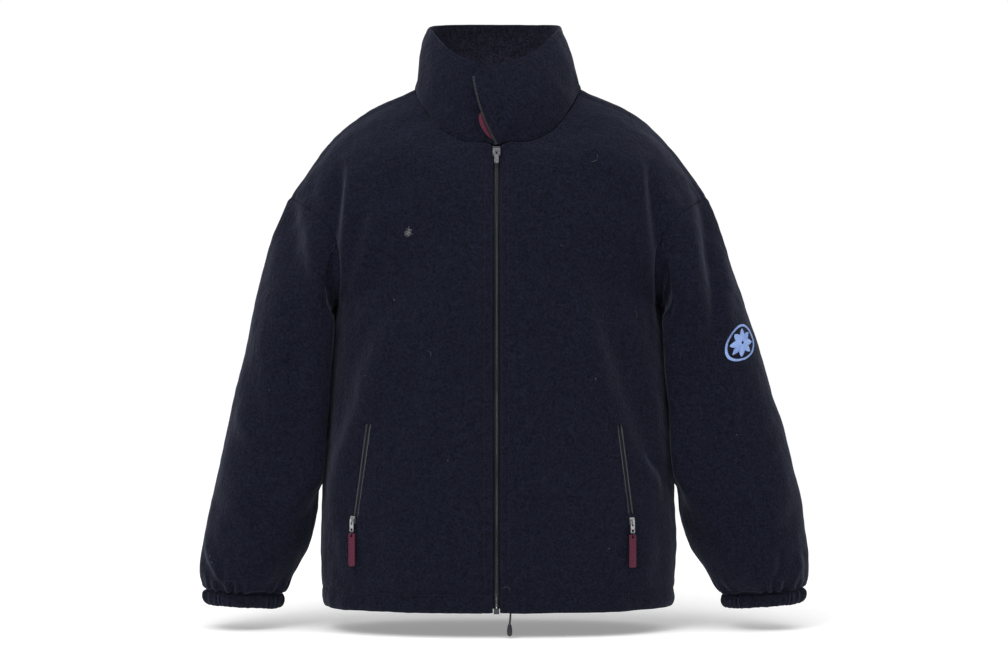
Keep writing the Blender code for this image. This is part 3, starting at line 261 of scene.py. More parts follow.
# Creases, each along a line of (x, z) points on the cloth, seen from the front (face -1) or back (1).
# lift is a ridge's height or a trough's depth, width its half width, and beside the share of an
# opposite trough or ridge next to it: on its outer side if more than 0, on its inner side if less.
CREASES = (
    # face, lift, width, beside, points
    # the deep folds where body and sleeves meet in front
    (-1, -0.012, 0.01, -0.35, ((-0.211, -0.108), (-0.216, -0.17), (-0.222, -0.24), (-0.227, -0.32))),
    (-1, -0.013, 0.0105, -0.35, ((0.206, -0.108), (0.211, -0.16), (0.219, -0.22), (0.23, -0.335))),
    (-1, 0.005, 0.011, 0.3,
     ((-0.196, -0.12), (-0.2, -0.15), (-0.208, -0.196), (-0.212, -0.254), (-0.215, -0.3))),
    (-1, 0.0045, 0.012, 0.3,
     ((0.194, -0.112), (0.198, -0.148), (0.207, -0.191), (0.215, -0.262), (0.222, -0.318))),
    # right of the zip, from chest to hip
    (-1, 0.0088, 0.017, 0.45,
     ((-0.141, -0.316), (-0.157, -0.368), (-0.18, -0.435), (-0.213, -0.533), (-0.224, -0.59))),
    (-1, 0.0058, 0.0105, 0.6,
     ((-0.156, -0.165), (-0.168, -0.205), (-0.177, -0.236), (-0.185, -0.256), (-0.196, -0.29))),
    (-1, -0.0022, 0.016, 0.3, ((-0.11, -0.2), (-0.125, -0.26), (-0.15, -0.315))),
    (-1, 0.003, 0.016, 0.5, ((-0.065, -0.33), (-0.08, -0.42), (-0.105, -0.51))),
    (-1, -0.0022, 0.014, 0.4, ((-0.186, -0.39), (-0.203, -0.45), (-0.218, -0.5))),
    (-1, 0.0026, 0.012, 0.5, ((-0.208, -0.59), (-0.196, -0.63), (-0.19, -0.668))),
    (-1, 0.0018, 0.014, 0.6, ((-0.125, -0.56), (-0.135, -0.61), (-0.133, -0.66))),
    # left of the zip
    (-1, -0.0082, 0.017, -0.5,
     ((0.142, -0.25), (0.158, -0.33), (0.186, -0.424), (0.206, -0.489), (0.214, -0.53))),
    (-1, 0.0048, 0.007, 0.6, ((0.197, -0.5), (0.203, -0.514), (0.212, -0.528), (0.22, -0.545))),
    (-1, 0.0036, 0.015, 0.45, ((0.115, -0.3), (0.13, -0.36), (0.15, -0.43))),
    (-1, -0.002, 0.015, 0.5, ((0.075, -0.42), (0.09, -0.5), (0.098, -0.575))),
    (-1, 0.0026, 0.012, 0.55, ((0.209, -0.585), (0.199, -0.625), (0.196, -0.668))),
    (-1, 0.0018, 0.013, 0.55, ((0.12, -0.6), (0.113, -0.64), (0.115, -0.672))),
    (-1, 0.0024, 0.012, 0.5, ((0.164, -0.17), (0.177, -0.215), (0.188, -0.262))),
    # below the collar, where the flap pulls on the chest
    (-1, 0.0022, 0.011, 0.5, ((-0.035, -0.088), (-0.03, -0.125), (-0.022, -0.165))),
    (-1, 0.002, 0.012, 0.5, ((0.042, -0.098), (0.035, -0.14), (0.026, -0.185))),
    (-1, -0.0022, 0.014, 0.45, ((-0.09, -0.07), (-0.115, -0.105), (-0.135, -0.15))),
    (-1, -0.002, 0.015, 0.45, ((0.095, -0.075), (0.12, -0.11), (0.136, -0.16))),
    # sleeve heads and sleeves in front
    (-1, 0.0075, 0.013, 0.7, ((-0.268, -0.15), (-0.259, -0.169), (-0.24, -0.234), (-0.226, -0.3))),
    (-1, 0.0065, 0.012, 0.75, ((0.262, -0.15), (0.268, -0.248), (0.271, -0.346), (0.269, -0.395))),
    (-1, -0.004, 0.009, 0.5, ((0.277, -0.155), (0.285, -0.19), (0.296, -0.26), (0.299, -0.333))),
    (-1, -0.0045, 0.011, 0.4, ((-0.288, -0.19), (-0.278, -0.26), (-0.27, -0.33), (-0.269, -0.4))),
    (-1, 0.004, 0.015, 0.5, ((-0.318, -0.33), (-0.3, -0.4), (-0.29, -0.47))),
    (-1, 0.0034, 0.011, 0.6, ((-0.352, -0.44), (-0.33, -0.47), (-0.298, -0.48))),
    (-1, -0.0034, 0.012, 0.5, ((-0.364, -0.49), (-0.34, -0.515), (-0.305, -0.525))),
    (-1, 0.0032, 0.012, 0.5, ((-0.37, -0.545), (-0.35, -0.57), (-0.318, -0.58))),
    (-1, 0.0042, 0.006, 0.75,
     ((-0.399, -0.605), (-0.394, -0.622), (-0.387, -0.64), (-0.379, -0.655), (-0.373, -0.672))),
    (-1, 0.0036, 0.006, 0.7, ((-0.301, -0.636), (-0.304, -0.65), (-0.309, -0.66), (-0.315, -0.672))),
    (-1, 0.003, 0.0075, 0.6, ((-0.34, -0.618), (-0.343, -0.64), (-0.341, -0.668))),
    (-1, 0.0024, 0.006, 0.6, ((-0.362, -0.636), (-0.359, -0.652), (-0.356, -0.672))),
    (-1, 0.0038, 0.014, 0.5, ((0.306, -0.395), (0.315, -0.45), (0.308, -0.5))),
    (-1, 0.0034, 0.011, 0.6, ((0.366, -0.452), (0.342, -0.482), (0.31, -0.492))),
    (-1, -0.0034, 0.012, 0.5, ((0.384, -0.505), (0.356, -0.528), (0.32, -0.536))),
    (-1, 0.003, 0.012, 0.5, ((0.398, -0.56), (0.37, -0.585), (0.33, -0.592))),
    (-1, 0.0036, 0.006, 0.7, ((0.334, -0.632), (0.337, -0.65), (0.338, -0.674))),
    (-1, 0.0036, 0.0058, 0.7, ((0.376, -0.63), (0.372, -0.644), (0.367, -0.672))),
    (-1, 0.003, 0.0055, 0.7, ((0.411, -0.632), (0.411, -0.65), (0.408, -0.67))),
    (-1, 0.0026, 0.006, 0.6, ((0.354, -0.645), (0.353, -0.66), (0.352, -0.674))),
    # shoulders
    (-1, 0.002, 0.012, 0.5, ((-0.23, -0.105), (-0.25, -0.12), (-0.264, -0.14))),
    (-1, 0.002, 0.012, 0.5, ((0.228, -0.105), (0.248, -0.122), (0.266, -0.142))),
    # behind
    (1, -0.0115, 0.0115, -0.35, ((-0.214, -0.115), (-0.218, -0.18), (-0.222, -0.25), (-0.226, -0.325))),
    (1, -0.0115, 0.0115, -0.35, ((0.212, -0.115), (0.217, -0.18), (0.223, -0.25), (0.23, -0.325))),
    (1, 0.0055, 0.024, 0.4, ((-0.118, -0.235), (-0.135, -0.31), (-0.17, -0.4), (-0.21, -0.49))),
    (1, 0.0055, 0.024, 0.4, ((0.13, -0.25), (0.145, -0.33), (0.172, -0.43), (0.204, -0.53))),
    (1, 0.003, 0.013, 0.55, ((-0.16, -0.16), (-0.175, -0.215), (-0.19, -0.28))),
    (1, 0.003, 0.013, 0.55, ((0.156, -0.17), (0.173, -0.23), (0.186, -0.3))),
    (1, -0.003, 0.02, 0.4, ((-0.07, -0.42), (-0.02, -0.446), (0.05, -0.432))),
    (1, 0.0026, 0.016, 0.5, ((-0.04, -0.5), (-0.07, -0.57), (-0.085, -0.64))),
    (1, 0.0024, 0.016, 0.5, ((0.065, -0.49), (0.08, -0.56), (0.078, -0.65))),
    (1, -0.0024, 0.017, 0.4, ((-0.062, -0.03), (-0.03, -0.046), (0.035, -0.044), (0.065, -0.03))),
    (1, 0.006, 0.014, 0.6, ((-0.27, -0.16), (-0.256, -0.23), (-0.246, -0.3))),
    (1, 0.006, 0.014, 0.6, ((0.27, -0.16), (0.264, -0.24), (0.262, -0.32))),
    (1, 0.0036, 0.013, 0.5, ((-0.36, -0.4), (-0.32, -0.44), (-0.28, -0.45))),
    (1, -0.0036, 0.013, 0.5, ((-0.37, -0.45), (-0.325, -0.49), (-0.285, -0.5))),
    (1, 0.0036, 0.012, 0.5, ((-0.38, -0.54), (-0.34, -0.565), (-0.3, -0.57))),
    (1, 0.0036, 0.013, 0.5, ((0.37, -0.41), (0.33, -0.452), (0.288, -0.462))),
    (1, -0.0036, 0.013, 0.5, ((0.39, -0.47), (0.34, -0.505), (0.29, -0.512))),
    (1, 0.0034, 0.012, 0.5, ((0.4, -0.56), (0.36, -0.588), (0.31, -0.59))),
    (1, 0.0034, 0.007, 0.65, ((-0.37, -0.622), (-0.364, -0.645), (-0.36, -0.672))),
    (1, 0.0034, 0.007, 0.65, ((-0.322, -0.63), (-0.326, -0.655), (-0.324, -0.676))),
    (1, 0.0034, 0.007, 0.65, ((0.39, -0.622), (0.385, -0.645), (0.383, -0.672))),
    (1, 0.0034, 0.007, 0.65, ((0.342, -0.63), (0.345, -0.655), (0.344, -0.676))),
)


# ---------------------------------------------------------------- small helpers
def smooth(values, at):
    """A curve through the values, read at fractional row numbers."""
    values = np.asarray(values, float)
    at = np.asarray(at, float)
    start = np.clip(np.floor(at).astype(int), 0, len(values) - 2)
    shape = at.shape + (1,) * (values.ndim - 1)
    t = (at - start).reshape(shape)
    slope = np.gradient(values, axis=0)
    low, high = values[start], values[start + 1]
    return (
        low * (2 * t**3 - 3 * t**2 + 1)
        + slope[start] * (t**3 - 2 * t**2 + t)
        + high * (3 * t**2 - 2 * t**3)
        + slope[start + 1] * (t**3 - t**2)
    )


def unit(vectors):
    return vectors / np.maximum(np.linalg.norm(vectors, axis=-1, keepdims=True), 1e-12)


def forward(vectors):
    """The vectors, each turned to the front where it points back."""
    return np.where(vectors[:, 1:2] > 0, -vectors, vectors)


def arc_from(grid, axis, from_end=False):
    """The distance along the cloth from one edge of a grid, or one end of a line, to each point."""
    step = np.linalg.norm(np.diff(grid, axis=axis), axis=-1)
    total = np.insert(np.cumsum(step, axis=axis), 0, 0, axis=axis)
    return np.take(total, [-1], axis=axis) - total if from_end else total


def read_line(at, known, points):
    """Points of a line at some distances, from those at the known distances."""
    return np.stack([np.interp(at, known, points[:, a]) for a in range(3)], axis=-1)


def uneven(points, size, seed, waves=9):
    """Soft unevenness from about -1 to 1, with bumps about as large as size."""
    rng = np.random.default_rng(seed)
    total = np.zeros(len(points))
    for _ in range(waves):
        toward = unit(rng.normal(size=3))
        stretch = rng.uniform(0.7, 1.5)
        total += np.sin(points @ toward * (2 * math.pi * stretch / (2 * size)) + rng.uniform(0, 2 * math.pi))
    return total / math.sqrt(waves * 1.5)


def ease(t):
    t = np.clip(t, 0, 1)
    return t * t * (3 - 2 * t)


# ---------------------------------------------------------------- the form
BODY_LAST = len(BODY["z"]) - 1
FINE = np.linspace(0, BODY_LAST, 400)
FINE_Z = smooth(BODY["z"], FINE)


def body_rows():
    """Fractional rows of BODY, closer together at the hem."""
    low, high = BODY["z"][0], BODY["z"][-1]
    hem = np.arange(low, low + FINE_HEM, HEM_STEP)
    above = np.linspace(low + FINE_HEM, high, int((high - low - FINE_HEM) / ROW_STEP))
    return np.interp(np.concatenate([hem, above]), FINE_Z, FINE)


def panel_rows(face):
    """Rows of a half panel from the hem to the shoulder seam, the last ones close together."""
    top = FRONT_TOP if face < 0 else BACK_TOP
    last = BODY_LAST + len(top["in_x"]) - 1
    count = ROWS_FRONT_TOP if face < 0 else ROWS_BACK_TOP
    upper = np.linspace(BODY_LAST, last - 0.12, count)[1:]
    return np.concatenate([body_rows(), upper, last - np.array([0.07, 0.03, 0.0])])


def panel_steps():
    """Shares of a half panel's width, close together at both edges."""
    near = np.array([0, 0.003, 0.007, 0.012, 0.018, 0.024, 0.029, 0.034, 0.038, 0.042, 0.048, 0.056])
    far = 1 - np.array([0.018, 0.011, 0.006, 0.0025, 0.0])
    return np.concatenate([near, np.linspace(0.068, 0.972, ACROSS), far])


def section(face, side, rows, steps):
    """Points of a half panel: rows up from the hem, steps from the centre (0) to the outside (1)."""
    top = FRONT_TOP if face < 0 else BACK_TOP
    depth = BODY["front"] if face < 0 else BODY["back"]
    rows = np.asarray(rows, float)
    flat = np.zeros(BODY_LAST)
    edge = PLACKET if face < 0 else 0.0

    def whole(below, column):
        return smooth(np.concatenate([below, top[column]]), rows)[:, None]

    def split(below, column):
        lower = smooth(below, np.minimum(rows, BODY_LAST))
        upper = smooth(top[column], np.maximum(rows - BODY_LAST, 0))
        return np.where(rows <= BODY_LAST, lower, upper)[:, None]

    in_x = whole(flat, "in_x")
    in_y = whole(depth[:-1] * face, "in_y")
    in_z = whole(BODY["z"][:-1], "in_z")
    out_x = split(BODY["half"], "out_x")
    out_y = split(np.zeros(BODY_LAST + 1), "out_y")
    out_z = split(BODY["z"], "out_z")
    curl = np.clip(whole(flat + 1, "curl"), 0, 1)
    belly = whole(flat, "belly")
    crown = whole(flat, "crown")
    full = smooth(np.append(BODY["fullness"], [2.2] * (len(top["in_x"]) - 1)), rows)[:, None]

    s = np.asarray(steps, float)[None, :]
    turn = s * math.pi / 2
    round_x = np.sin(turn) ** (2 / full)
    round_y = 1 - np.clip(np.cos(turn), 0, 1) ** (2 / full)
    share_x = curl * round_x + (1 - curl) * s
    share_y = curl * round_y + (1 - curl) * s
    x = in_x + (out_x - in_x) * share_x
    y = in_y + (out_y - in_y) * share_y - belly * np.sin(math.pi * s)
    z = in_z + (out_z - in_z) * share_x + crown * np.sin(math.pi * s**1.2)
    x = x + edge * np.clip(1 - x / 0.03, 0, 1) if face < 0 else x
    return np.stack([x * side * (1 + SIDE_LEAN * side), y, z], axis=-1)


def armhole(side):
    """The ring of points where body and sleeve meet, from the armpit up the front and down the back."""
    rows_front, rows_back = panel_rows(-1), panel_rows(1)
    front = section(-1, side, rows_front[rows_front >= BODY_LAST], [1.0])[:, 0]
    back = section(1, side, rows_back[rows_back >= BODY_LAST], [1.0])[:, 0]
    return np.concatenate([front, back[1:-1][::-1]])


def ring_of(row, side, angles):
    """One oval ring of a sleeve. The angle is 0 at its outer point and turns to the front."""
    outer = np.array([row["out_x"], 0, row["out_z"]])
    inner = np.array([row["in_x"], 0, row["in_z"]])
    middle, reach = (outer + inner) / 2, (outer - inner) / 2
    cos, sin = np.cos(angles), np.sin(angles)
    depth = np.where(sin > 0, -row["front"], row["back"])
    centre_y = (row["front"] + row["back"]) / 2
    half_y = (row["back"] - row["front"]) / 2
    blend = 0.35 + 0.65 * np.abs(sin)
    y = -(depth * sin) * blend + (centre_y - half_y * sin) * (1 - blend)
    points = middle + cos[:, None] * reach
    points[:, 1] = y
    return points * np.array([side, 1, 1])


def ring_angles(ring, row, side):
    """The angle of each armhole point on the sleeve's first oval."""
    flat = ring * np.array([side, 1, 1])
    outer = np.array([row["out_x"], row["out_z"]])
    inner = np.array([row["in_x"], row["in_z"]])
    middle, reach = (outer + inner) / 2, (outer - inner) / 2
    along = (flat[:, [0, 2]] - middle) @ reach / (reach @ reach)
    depth = np.where(flat[:, 1] < 0, -row["front"], row["back"])
    return np.unwrap(np.arctan2(-flat[:, 1] / depth, along))


def tucked(ring, angles, side):
    """The ring with its inner side laid along the body's own side, a little clear of it."""
    rows = np.interp(ring[:, 2], FINE_Z, FINE)
    half = smooth(BODY["half"], rows) * (1 + SIDE_LEAN * side)
    depth = np.where(ring[:, 1] < 0, smooth(BODY["front"], rows), smooth(BODY["back"], rows))
    full = smooth(BODY["fullness"], rows)
    body = half * np.clip(1 - (np.abs(ring[:, 1]) / depth) ** full, 0, 1) ** (1 / full)
    level = ease((TUCK_TOP - ring[:, 2]) / 0.030) * ease((ring[:, 2] - TUCK_LOW) / 0.080)
    share = level * ease(-np.cos(angles) / 0.62)
    x = side * ring[:, 0]
    inner = np.maximum(body + SLEEVE_CLEAR, half - SLEEVE_LAP)
    x = np.where(inner < x, x + (inner - x) * share, x)
    return side * x


def sleeve_row(side, at):
    rows = SLEEVE_LEFT if side > 0 else SLEEVE_RIGHT
    return {name: float(smooth(rows[name], np.array(at))) for name in rows}


def sleeve_rings(side):
    """All rings of a sleeve, each with the armhole's number of points, and the even angles."""
    ring = armhole(side)
    first = sleeve_row(side, 0.0)
    start = ring_angles(ring, first, side)
    turn = np.sign(start[-1] - start[0]) * 2 * math.pi
    even = np.linspace(start[0], start[0] + turn, len(ring), False)
    own_shape = ring - ring_of(first, side, start)
    last = len(SLEEVE_LEFT["out_x"]) - 1
    even_places = np.linspace(0.13, last - 0.3, RINGS_SLEEVE)
    places = np.concatenate([[0, 0.03, 0.07], even_places, last - np.array([0.2, 0.1, 0.0])])
    rings = []
    for at in places:
        row = sleeve_row(side, at)
        fade = ease(1 - at / ARMHOLE_FADE)
        angles = start * fade + even * (1 - fade)
        ring = ring_of(row, side, angles) + own_shape * fade
        least = row["in_x"] - 0.0035 * ease(1 - at)
        ring[:, 0] = side * np.maximum(side * ring[:, 0], least) if at > 0 else ring[:, 0]
        ring[:, 0] = tucked(ring, angles, side)
        rings.append(ring)
    return np.array(rings), even


def cuff_rings(side, angles):
    """The rings of an elasticated band below the sleeve, the first on the sleeve's last ring."""
    last = sleeve_row(side, len(SLEEVE_LEFT["out_x"]) - 1)
    slope = (last["out_z"] - last["in_z"]) / (last["out_x"] - last["in_x"])
    rings = []
    for share in np.linspace(0, 1, RINGS_CUFF):
        swell = float(smooth(CUFF_SWELL, np.array(share * (len(CUFF_SWELL) - 1))))
        row = dict(last)
        centre = (last["out_x"] + last["in_x"]) / 2
        half = (last["out_x"] - last["in_x"]) / 2 * swell
        row["out_x"], row["in_x"] = centre + half, centre - half
        drop = CUFF_DROP * share
        row["out_z"] = last["out_z"] - drop
        row["in_z"] = last["in_z"] - drop - slope * 0.002 * share
        row["front"], row["back"] = last["front"] * swell, last["back"] * swell
        rings.append(ring_of(row, side, angles))
    return np.array(rings)


def neckline():
    """The collar's base, from the left front end round the back to the right one, and its stations."""
    rows_front, rows_back = panel_rows(-1), panel_rows(1)
    first_front, first_back = BODY_LAST + FRONT_NECK_ROW, BODY_LAST + BACK_NECK_ROW
    rows_front = np.append(first_front, rows_front[rows_front > first_front + 0.02])
    rows_back = np.append(first_back, rows_back[rows_back > first_back + 0.02])
    last_back = BODY_LAST + len(BACK_TOP["in_x"]) - 1
    halves = []
    for side in (1, -1):
        front = section(-1, side, rows_front, [0.0])[:, 0]
        back = section(1, side, rows_back, [0.0])[:, 0]
        halves.append(np.concatenate([front, back[:-1][::-1]]))
    stations = np.concatenate([rows_front - first_front, 4 + (last_back - rows_back[:-1][::-1])])
    whole = np.concatenate([stations, 2 * stations[-1] - stations[:-1][::-1]])
    return np.concatenate([halves[0], halves[1][:-1][::-1]]), whole


def collar_line(what):
    """The collar's middle or top, from the left front end round the back to the right one."""
    left, right = (np.stack([half[what + a] for a in "xyz"], axis=-1) for half in (COLLAR_LEFT, COLLAR_RIGHT))
    return np.concatenate([left, right[:-1][::-1] * (-1, 1, 1)])


def collar_grid():
    """Rows from the neckline to the rim, each a smooth curve through base, middle and top."""
    base, stations = neckline()
    middle, top = (smooth(collar_line(what), stations) for what in ("mid_", "top_"))
    corner = np.exp(-((stations / 0.32) ** 2)) * FLAP_CORNER
    v = np.linspace(0, 1, ROWS_COLLAR)
    v = (v - 0.012 * np.sin(2 * math.pi * v))[:, None, None]
    grid = base * (1 - v) * (1 - 2 * v) + middle * 4 * v * (1 - v) + top * v * (2 * v - 1)
    grid[:, :, 2] -= corner * v[:, :, 0] ** 8
    return grid


# ---------------------------------------------------------------- creases
def beside_line(flat, line):
    """How far flat points are from a line, less than 0 on one side, and their share of the way along it."""
    run = arc_from(line, 0)
    best = np.full(len(flat), 1e9)
    across, along = np.zeros(len(flat)), np.zeros(len(flat))
    for k, step in enumerate(np.diff(line, axis=0)):
        length = np.linalg.norm(step)
        away = flat - line[k]
        held = np.clip(away @ step / length**2, 0, 1)
        gap = np.linalg.norm(away - held[:, None] * step, axis=1)
        closer = gap < best
        best = np.where(closer, gap, best)
        turn = step[0] * away[:, 1] - step[1] * away[:, 0]
        across = np.where(closer, np.sign(turn) * gap, across)
        along = np.where(closer, run[k] + held * length, along)
    return across, along / run[-1]


def crease_lift(points, normals):
    """How far the creases push each point out along its normal."""
    total = np.zeros(len(points))
    flat = points[:, [0, 2]]
    for face, lift, width, beside, line in CREASES:
        line = smooth(np.array(line, float), np.linspace(0, len(line) - 1, 4 * len(line)))
        low, high = line.min(axis=0) - 4 * width, line.max(axis=0) + 4 * width
        near = np.nonzero(((flat > low) & (flat < high)).all(axis=1) & (normals[:, 1] * face > 0))[0]
        across, t = beside_line(flat[near], line)
        outer_side = np.sign(line[:, 0].mean())
        wide = width * (0.75 + 0.5 * np.sin(math.pi * t))
        shift = 1.7 * np.sign(beside) * wide
        main = np.exp(-((across / wide) ** 2))
        other = np.exp(-(((across * outer_side - shift) / wide) ** 2)) * abs(beside)
        taper = np.sin(math.pi * np.clip(0.04 + 0.92 * t, 0, 1)) ** 0.75
        total[near] += lift * (main - other) * taper * ease(normals[near, 1] * face * 1.8)
    return total


# ---------------------------------------------------------------- sewn pieces
GROUPS = {"front": "body", "back": "body", "sleeve": "sleeve", "cuff": "sleeve", "collar": "collar"}


def new_piece(name, grid, wall, closed=False, centre=(0.0, 0.0, -0.35), sinks=()):
    """A sewn piece on a grid of points. sinks are (distances, depth, width) of dips in it."""
    grid = np.asarray(grid, float)
    rows, columns = grid.shape[:2]
    index = np.arange(rows * columns).reshape(rows, columns)
    if closed:
        index = np.concatenate([index, index[:, :1]], axis=1)
    faces = np.stack([index[:-1, :-1], index[:-1, 1:], index[1:, 1:], index[1:, :-1]], axis=-1).reshape(-1, 4)
    points = grid.reshape(-1, 3)
    corners = points[faces]
    normal = np.cross(corners[:, 2] - corners[:, 0], corners[:, 3] - corners[:, 1])
    if (normal * (corners.mean(axis=1) - np.array(centre))).sum() < 0:
        faces = faces[:, ::-1]
    dip = np.zeros(len(points))
    for distances, depth, width in sinks:
        dip += (depth * np.exp(-((np.broadcast_to(distances, (rows, columns)) / width) ** 2))).reshape(-1)
    wall = np.broadcast_to(np.asarray(wall, float), (rows, columns)).reshape(-1)
    group = GROUPS[name.split("_")[0]]
    return {
        "name": name, "group": group, "shape": (rows, columns), "points": points, "faces": faces,
        "wall": wall, "dip": dip,
    }


def share_keys(pieces):
    """Numbers the points of all pieces so that points in one place share a number."""
    every = np.concatenate([item["points"] for item in pieces])
    _, keys = np.unique(np.round(every, 6), axis=0, return_inverse=True)
    start = 0
    for item in pieces:
        item["keys"] = keys.reshape(-1)[start:start + len(item["points"])]
        start += len(item["points"])
    return every, keys.reshape(-1)


def shared_normals(pieces, count):
    """Normals of all pieces together, so that pieces that meet at a seam agree there."""
    by_group = {name: np.zeros((count, 3)) for name in GROUPS.values()}
    for item in pieces:
        corners = item["points"][item["faces"]]
        normal = np.cross(corners[:, 2] - corners[:, 0], corners[:, 3] - corners[:, 1])
        for k in range(4):
            np.add.at(by_group[item["group"]], item["keys"][item["faces"][:, k]], normal)
    for item in pieces:
        item["own"] = unit(by_group[item["group"]])[item["keys"]]
    return unit(sum(unit(total) for total in by_group.values()))


def gathers(item):
    """The uneven upright gathers of an elasticated cuff, deepest in its middle."""
    rows, columns = item["shape"]
    turn = np.linspace(0, 2 * math.pi, columns, False)
    wander = 1.3 * np.sin(2 * turn + 0.7) + 0.9 * np.sin(5 * turn + 2.1) + 0.5 * np.sin(9 * turn)
    wave = np.sin(34 * turn + 2.2 * wander) * (0.75 + 0.35 * np.sin(7 * turn + 1.0) * np.sin(3 * turn))
    wave = wave + 0.35 * np.sin(57 * turn + 1.4 * wander)
    share = np.linspace(0, 1, rows)[:, None]
    return (0.0017 * wave[None, :] * (0.25 + 0.75 * np.sin(math.pi * share))).reshape(-1)


def sleeve_gathers(item):
    """Short soft puckers where a sleeve is drawn into its cuff."""
    rows, columns = item["shape"]
    turn = np.linspace(0, 2 * math.pi, columns, False)
    wander = 1.1 * np.sin(3 * turn + 0.4) + 0.7 * np.sin(7 * turn + 1.1)
    wave = np.sin(17 * turn + 2.0 * wander) * (0.7 + 0.4 * np.sin(4 * turn + 0.6))
    height = arc_from(item["points"].reshape(rows, columns, 3), 0, True)
    return (0.0030 * wave[None, :] * np.exp(-((height - 0.006) / 0.017) ** 2)).reshape(-1)


def hem_puckers(item):
    """Small uneven puckers at the stitched line of the hem, and a slack band below it."""
    points = item["points"]
    girth = points[:, 0] * 1.0 + np.abs(points[:, 1]) * 0.35
    wander = 1.4 * np.sin(girth * 31) + 1.0 * np.sin(girth * 63 + 1.0)
    wave = np.sin(girth * 420 + 2.4 * wander) * (0.55 + 0.45 * np.sin(girth * 47 + 0.8))
    band = np.sin(girth * 150 + 1.7 * wander)
    height = points[:, 2] - BODY["z"][0]
    at_line = np.exp(-(((height - 0.025) / 0.0075) ** 2))
    in_band = np.exp(-(((height - 0.011) / 0.0085) ** 2))
    groove = np.exp(-(((height - 0.0245) / 0.0022) ** 2))
    return 0.00055 * wave * at_line + 0.0008 * band * in_band - 0.0009 * groove


def eased(grid, rows):
    """Softens the turn across a panel where the body's sections give way to the chest's."""
    offsets = np.arange(-EASE_REACH, EASE_REACH + 1)
    kernel = np.exp(-((offsets / EASE_SPREAD) ** 2))
    kernel /= kernel.sum()
    ends = np.repeat(grid[:1], EASE_REACH, 0), np.repeat(grid[-1:], EASE_REACH, 0)
    padded = np.concatenate([ends[0], grid, ends[1]])
    soft = sum(w * padded[i:i + len(rows)] for i, w in enumerate(kernel))
    away = (np.arange(len(rows)) - np.searchsorted(rows, BODY_LAST)) / EASED_ROWS
    share = np.exp(-(away**2))[:, None, None] * (1 - panel_steps() ** 10)[None, :, None]
    return grid + (soft - grid) * share


def half_panel(face, side, name):
    """A front, or one half of the back, with the dips at its edges and at a front's stitched lines."""
    rows = panel_rows(face)
    grid = eased(section(face, side, rows, panel_steps()), rows)
    inner, outer, top = arc_from(grid, 1), arc_from(grid, 1, True), arc_from(grid, 0, True)
    neck_row = BODY_LAST + (FRONT_NECK_ROW if face < 0 else BACK_NECK_ROW)
    at_neck, at_arm = (rows > neck_row)[:, None], (rows > BODY_LAST + 0.4)[:, None]
    sinks = [
        (inner, np.where(at_neck, 0.0006, 0.0010 if face < 0 else 0.0), 0.0026),
        (outer, np.where(at_arm, SINK * 1.3, SINK * 0.6), 0.0030),
        (top, SINK, 0.0028),
        (arc_from(grid, 0), 0.0010, 0.0018),
    ]
    if face < 0:
        sinks.append((top - YOKE_LINE, 0.0012, 0.0024))
        sinks.append((inner - 0.012, np.where(at_neck, 0.0, 0.0011), 0.0020))
    wall = np.interp(rows, np.arange(BODY_LAST + 1), BODY["wall"])[:, None] * WALL_SHARE
    return new_piece(name, grid, wall, sinks=sinks)


def tube_piece(name, rings, wall, first_dip, last_dip):
    """A sleeve or a cuff, closed round, with a dip at each end."""
    sinks = [(arc_from(rings, 0), *first_dip), (arc_from(rings, 0, True), *last_dip)]
    return new_piece(name, rings, wall, True, rings.reshape(-1, 3).mean(axis=0), sinks)


def collar_piece():
    grid = collar_grid()
    rim, ends = arc_from(grid, 0, True), np.minimum(arc_from(grid, 1), arc_from(grid, 1, True))
    sinks = [
        (arc_from(grid, 0), 0.0006, 0.0028),
        (rim, 0.0011, 0.0022),
        (ends, 0.0011, 0.0022),
        (rim - RIM_LINE, 0.00055, 0.0018),
        (ends - END_LINE, 0.00055, 0.0018),
    ]
    return new_piece("collar", grid, COLLAR_WALL, centre=(0, 0, 0), sinks=sinks)


def cloth_pieces():
    sides = ((1, "_left"), (-1, "_right"))
    pieces = [half_panel(-1, side, "front" + word) for side, word in sides]
    pieces += [half_panel(1, side, "back" + word) for side, word in sides]
    for side, word in sides:
        rings, angles = sleeve_rings(side)
        pieces.append(tube_piece("sleeve" + word, rings, FLEECE, (SINK, 0.0028), (SINK * 1.1, 0.0030)))
        rings = cuff_rings(side, angles)
        pieces.append(tube_piece("cuff" + word, rings, CUFF_WALL, (SINK * 1.1, 0.0022), (0.0008, 0.0016)))
    return pieces + [collar_piece()]


# the small unevenness of the cloth: height, size of a bump and seed
UNEVEN = ((0.00055, 0.022, 3), (0.00030, 0.009, 5), (0.0011, 0.060, 11))


def shape_cloth(pieces):
    """Puts the creases and the small unevenness into all pieces and gives each its normals."""
    every, keys = share_keys(pieces)
    count = keys.max() + 1
    normals = shared_normals(pieces, count)
    lift = crease_lift(every, normals[keys])
    for height, size, seed in UNEVEN:
        lift += height * uneven(every, size, seed)
    pushed = np.zeros((count, 1))
    pushed[keys, 0] = lift
    for item in pieces:
        item["points"] = item["points"] + (normals * pushed)[item["keys"]]
    normals = shared_normals(pieces, count)
    puckers = {"front": hem_puckers, "back": hem_puckers, "sleeve": sleeve_gathers, "cuff": gathers}
    for item in pieces:
        item["normals"] = normals[item["keys"]]
        lean = (item["normals"] * item["own"]).sum(axis=1)
        item["wall"] = item["wall"] / np.clip(lean, MITRE_LIMIT, 1)
        small = -item["dip"]
        kind = item["name"].split("_")[0]
        if kind in puckers:
            small = small + puckers[kind](item)
        item["outer"] = item["points"] + item["normals"] * small[:, None]
        item["tree"] = BVHTree.FromPolygons(item["outer"].tolist(), item["faces"].tolist())


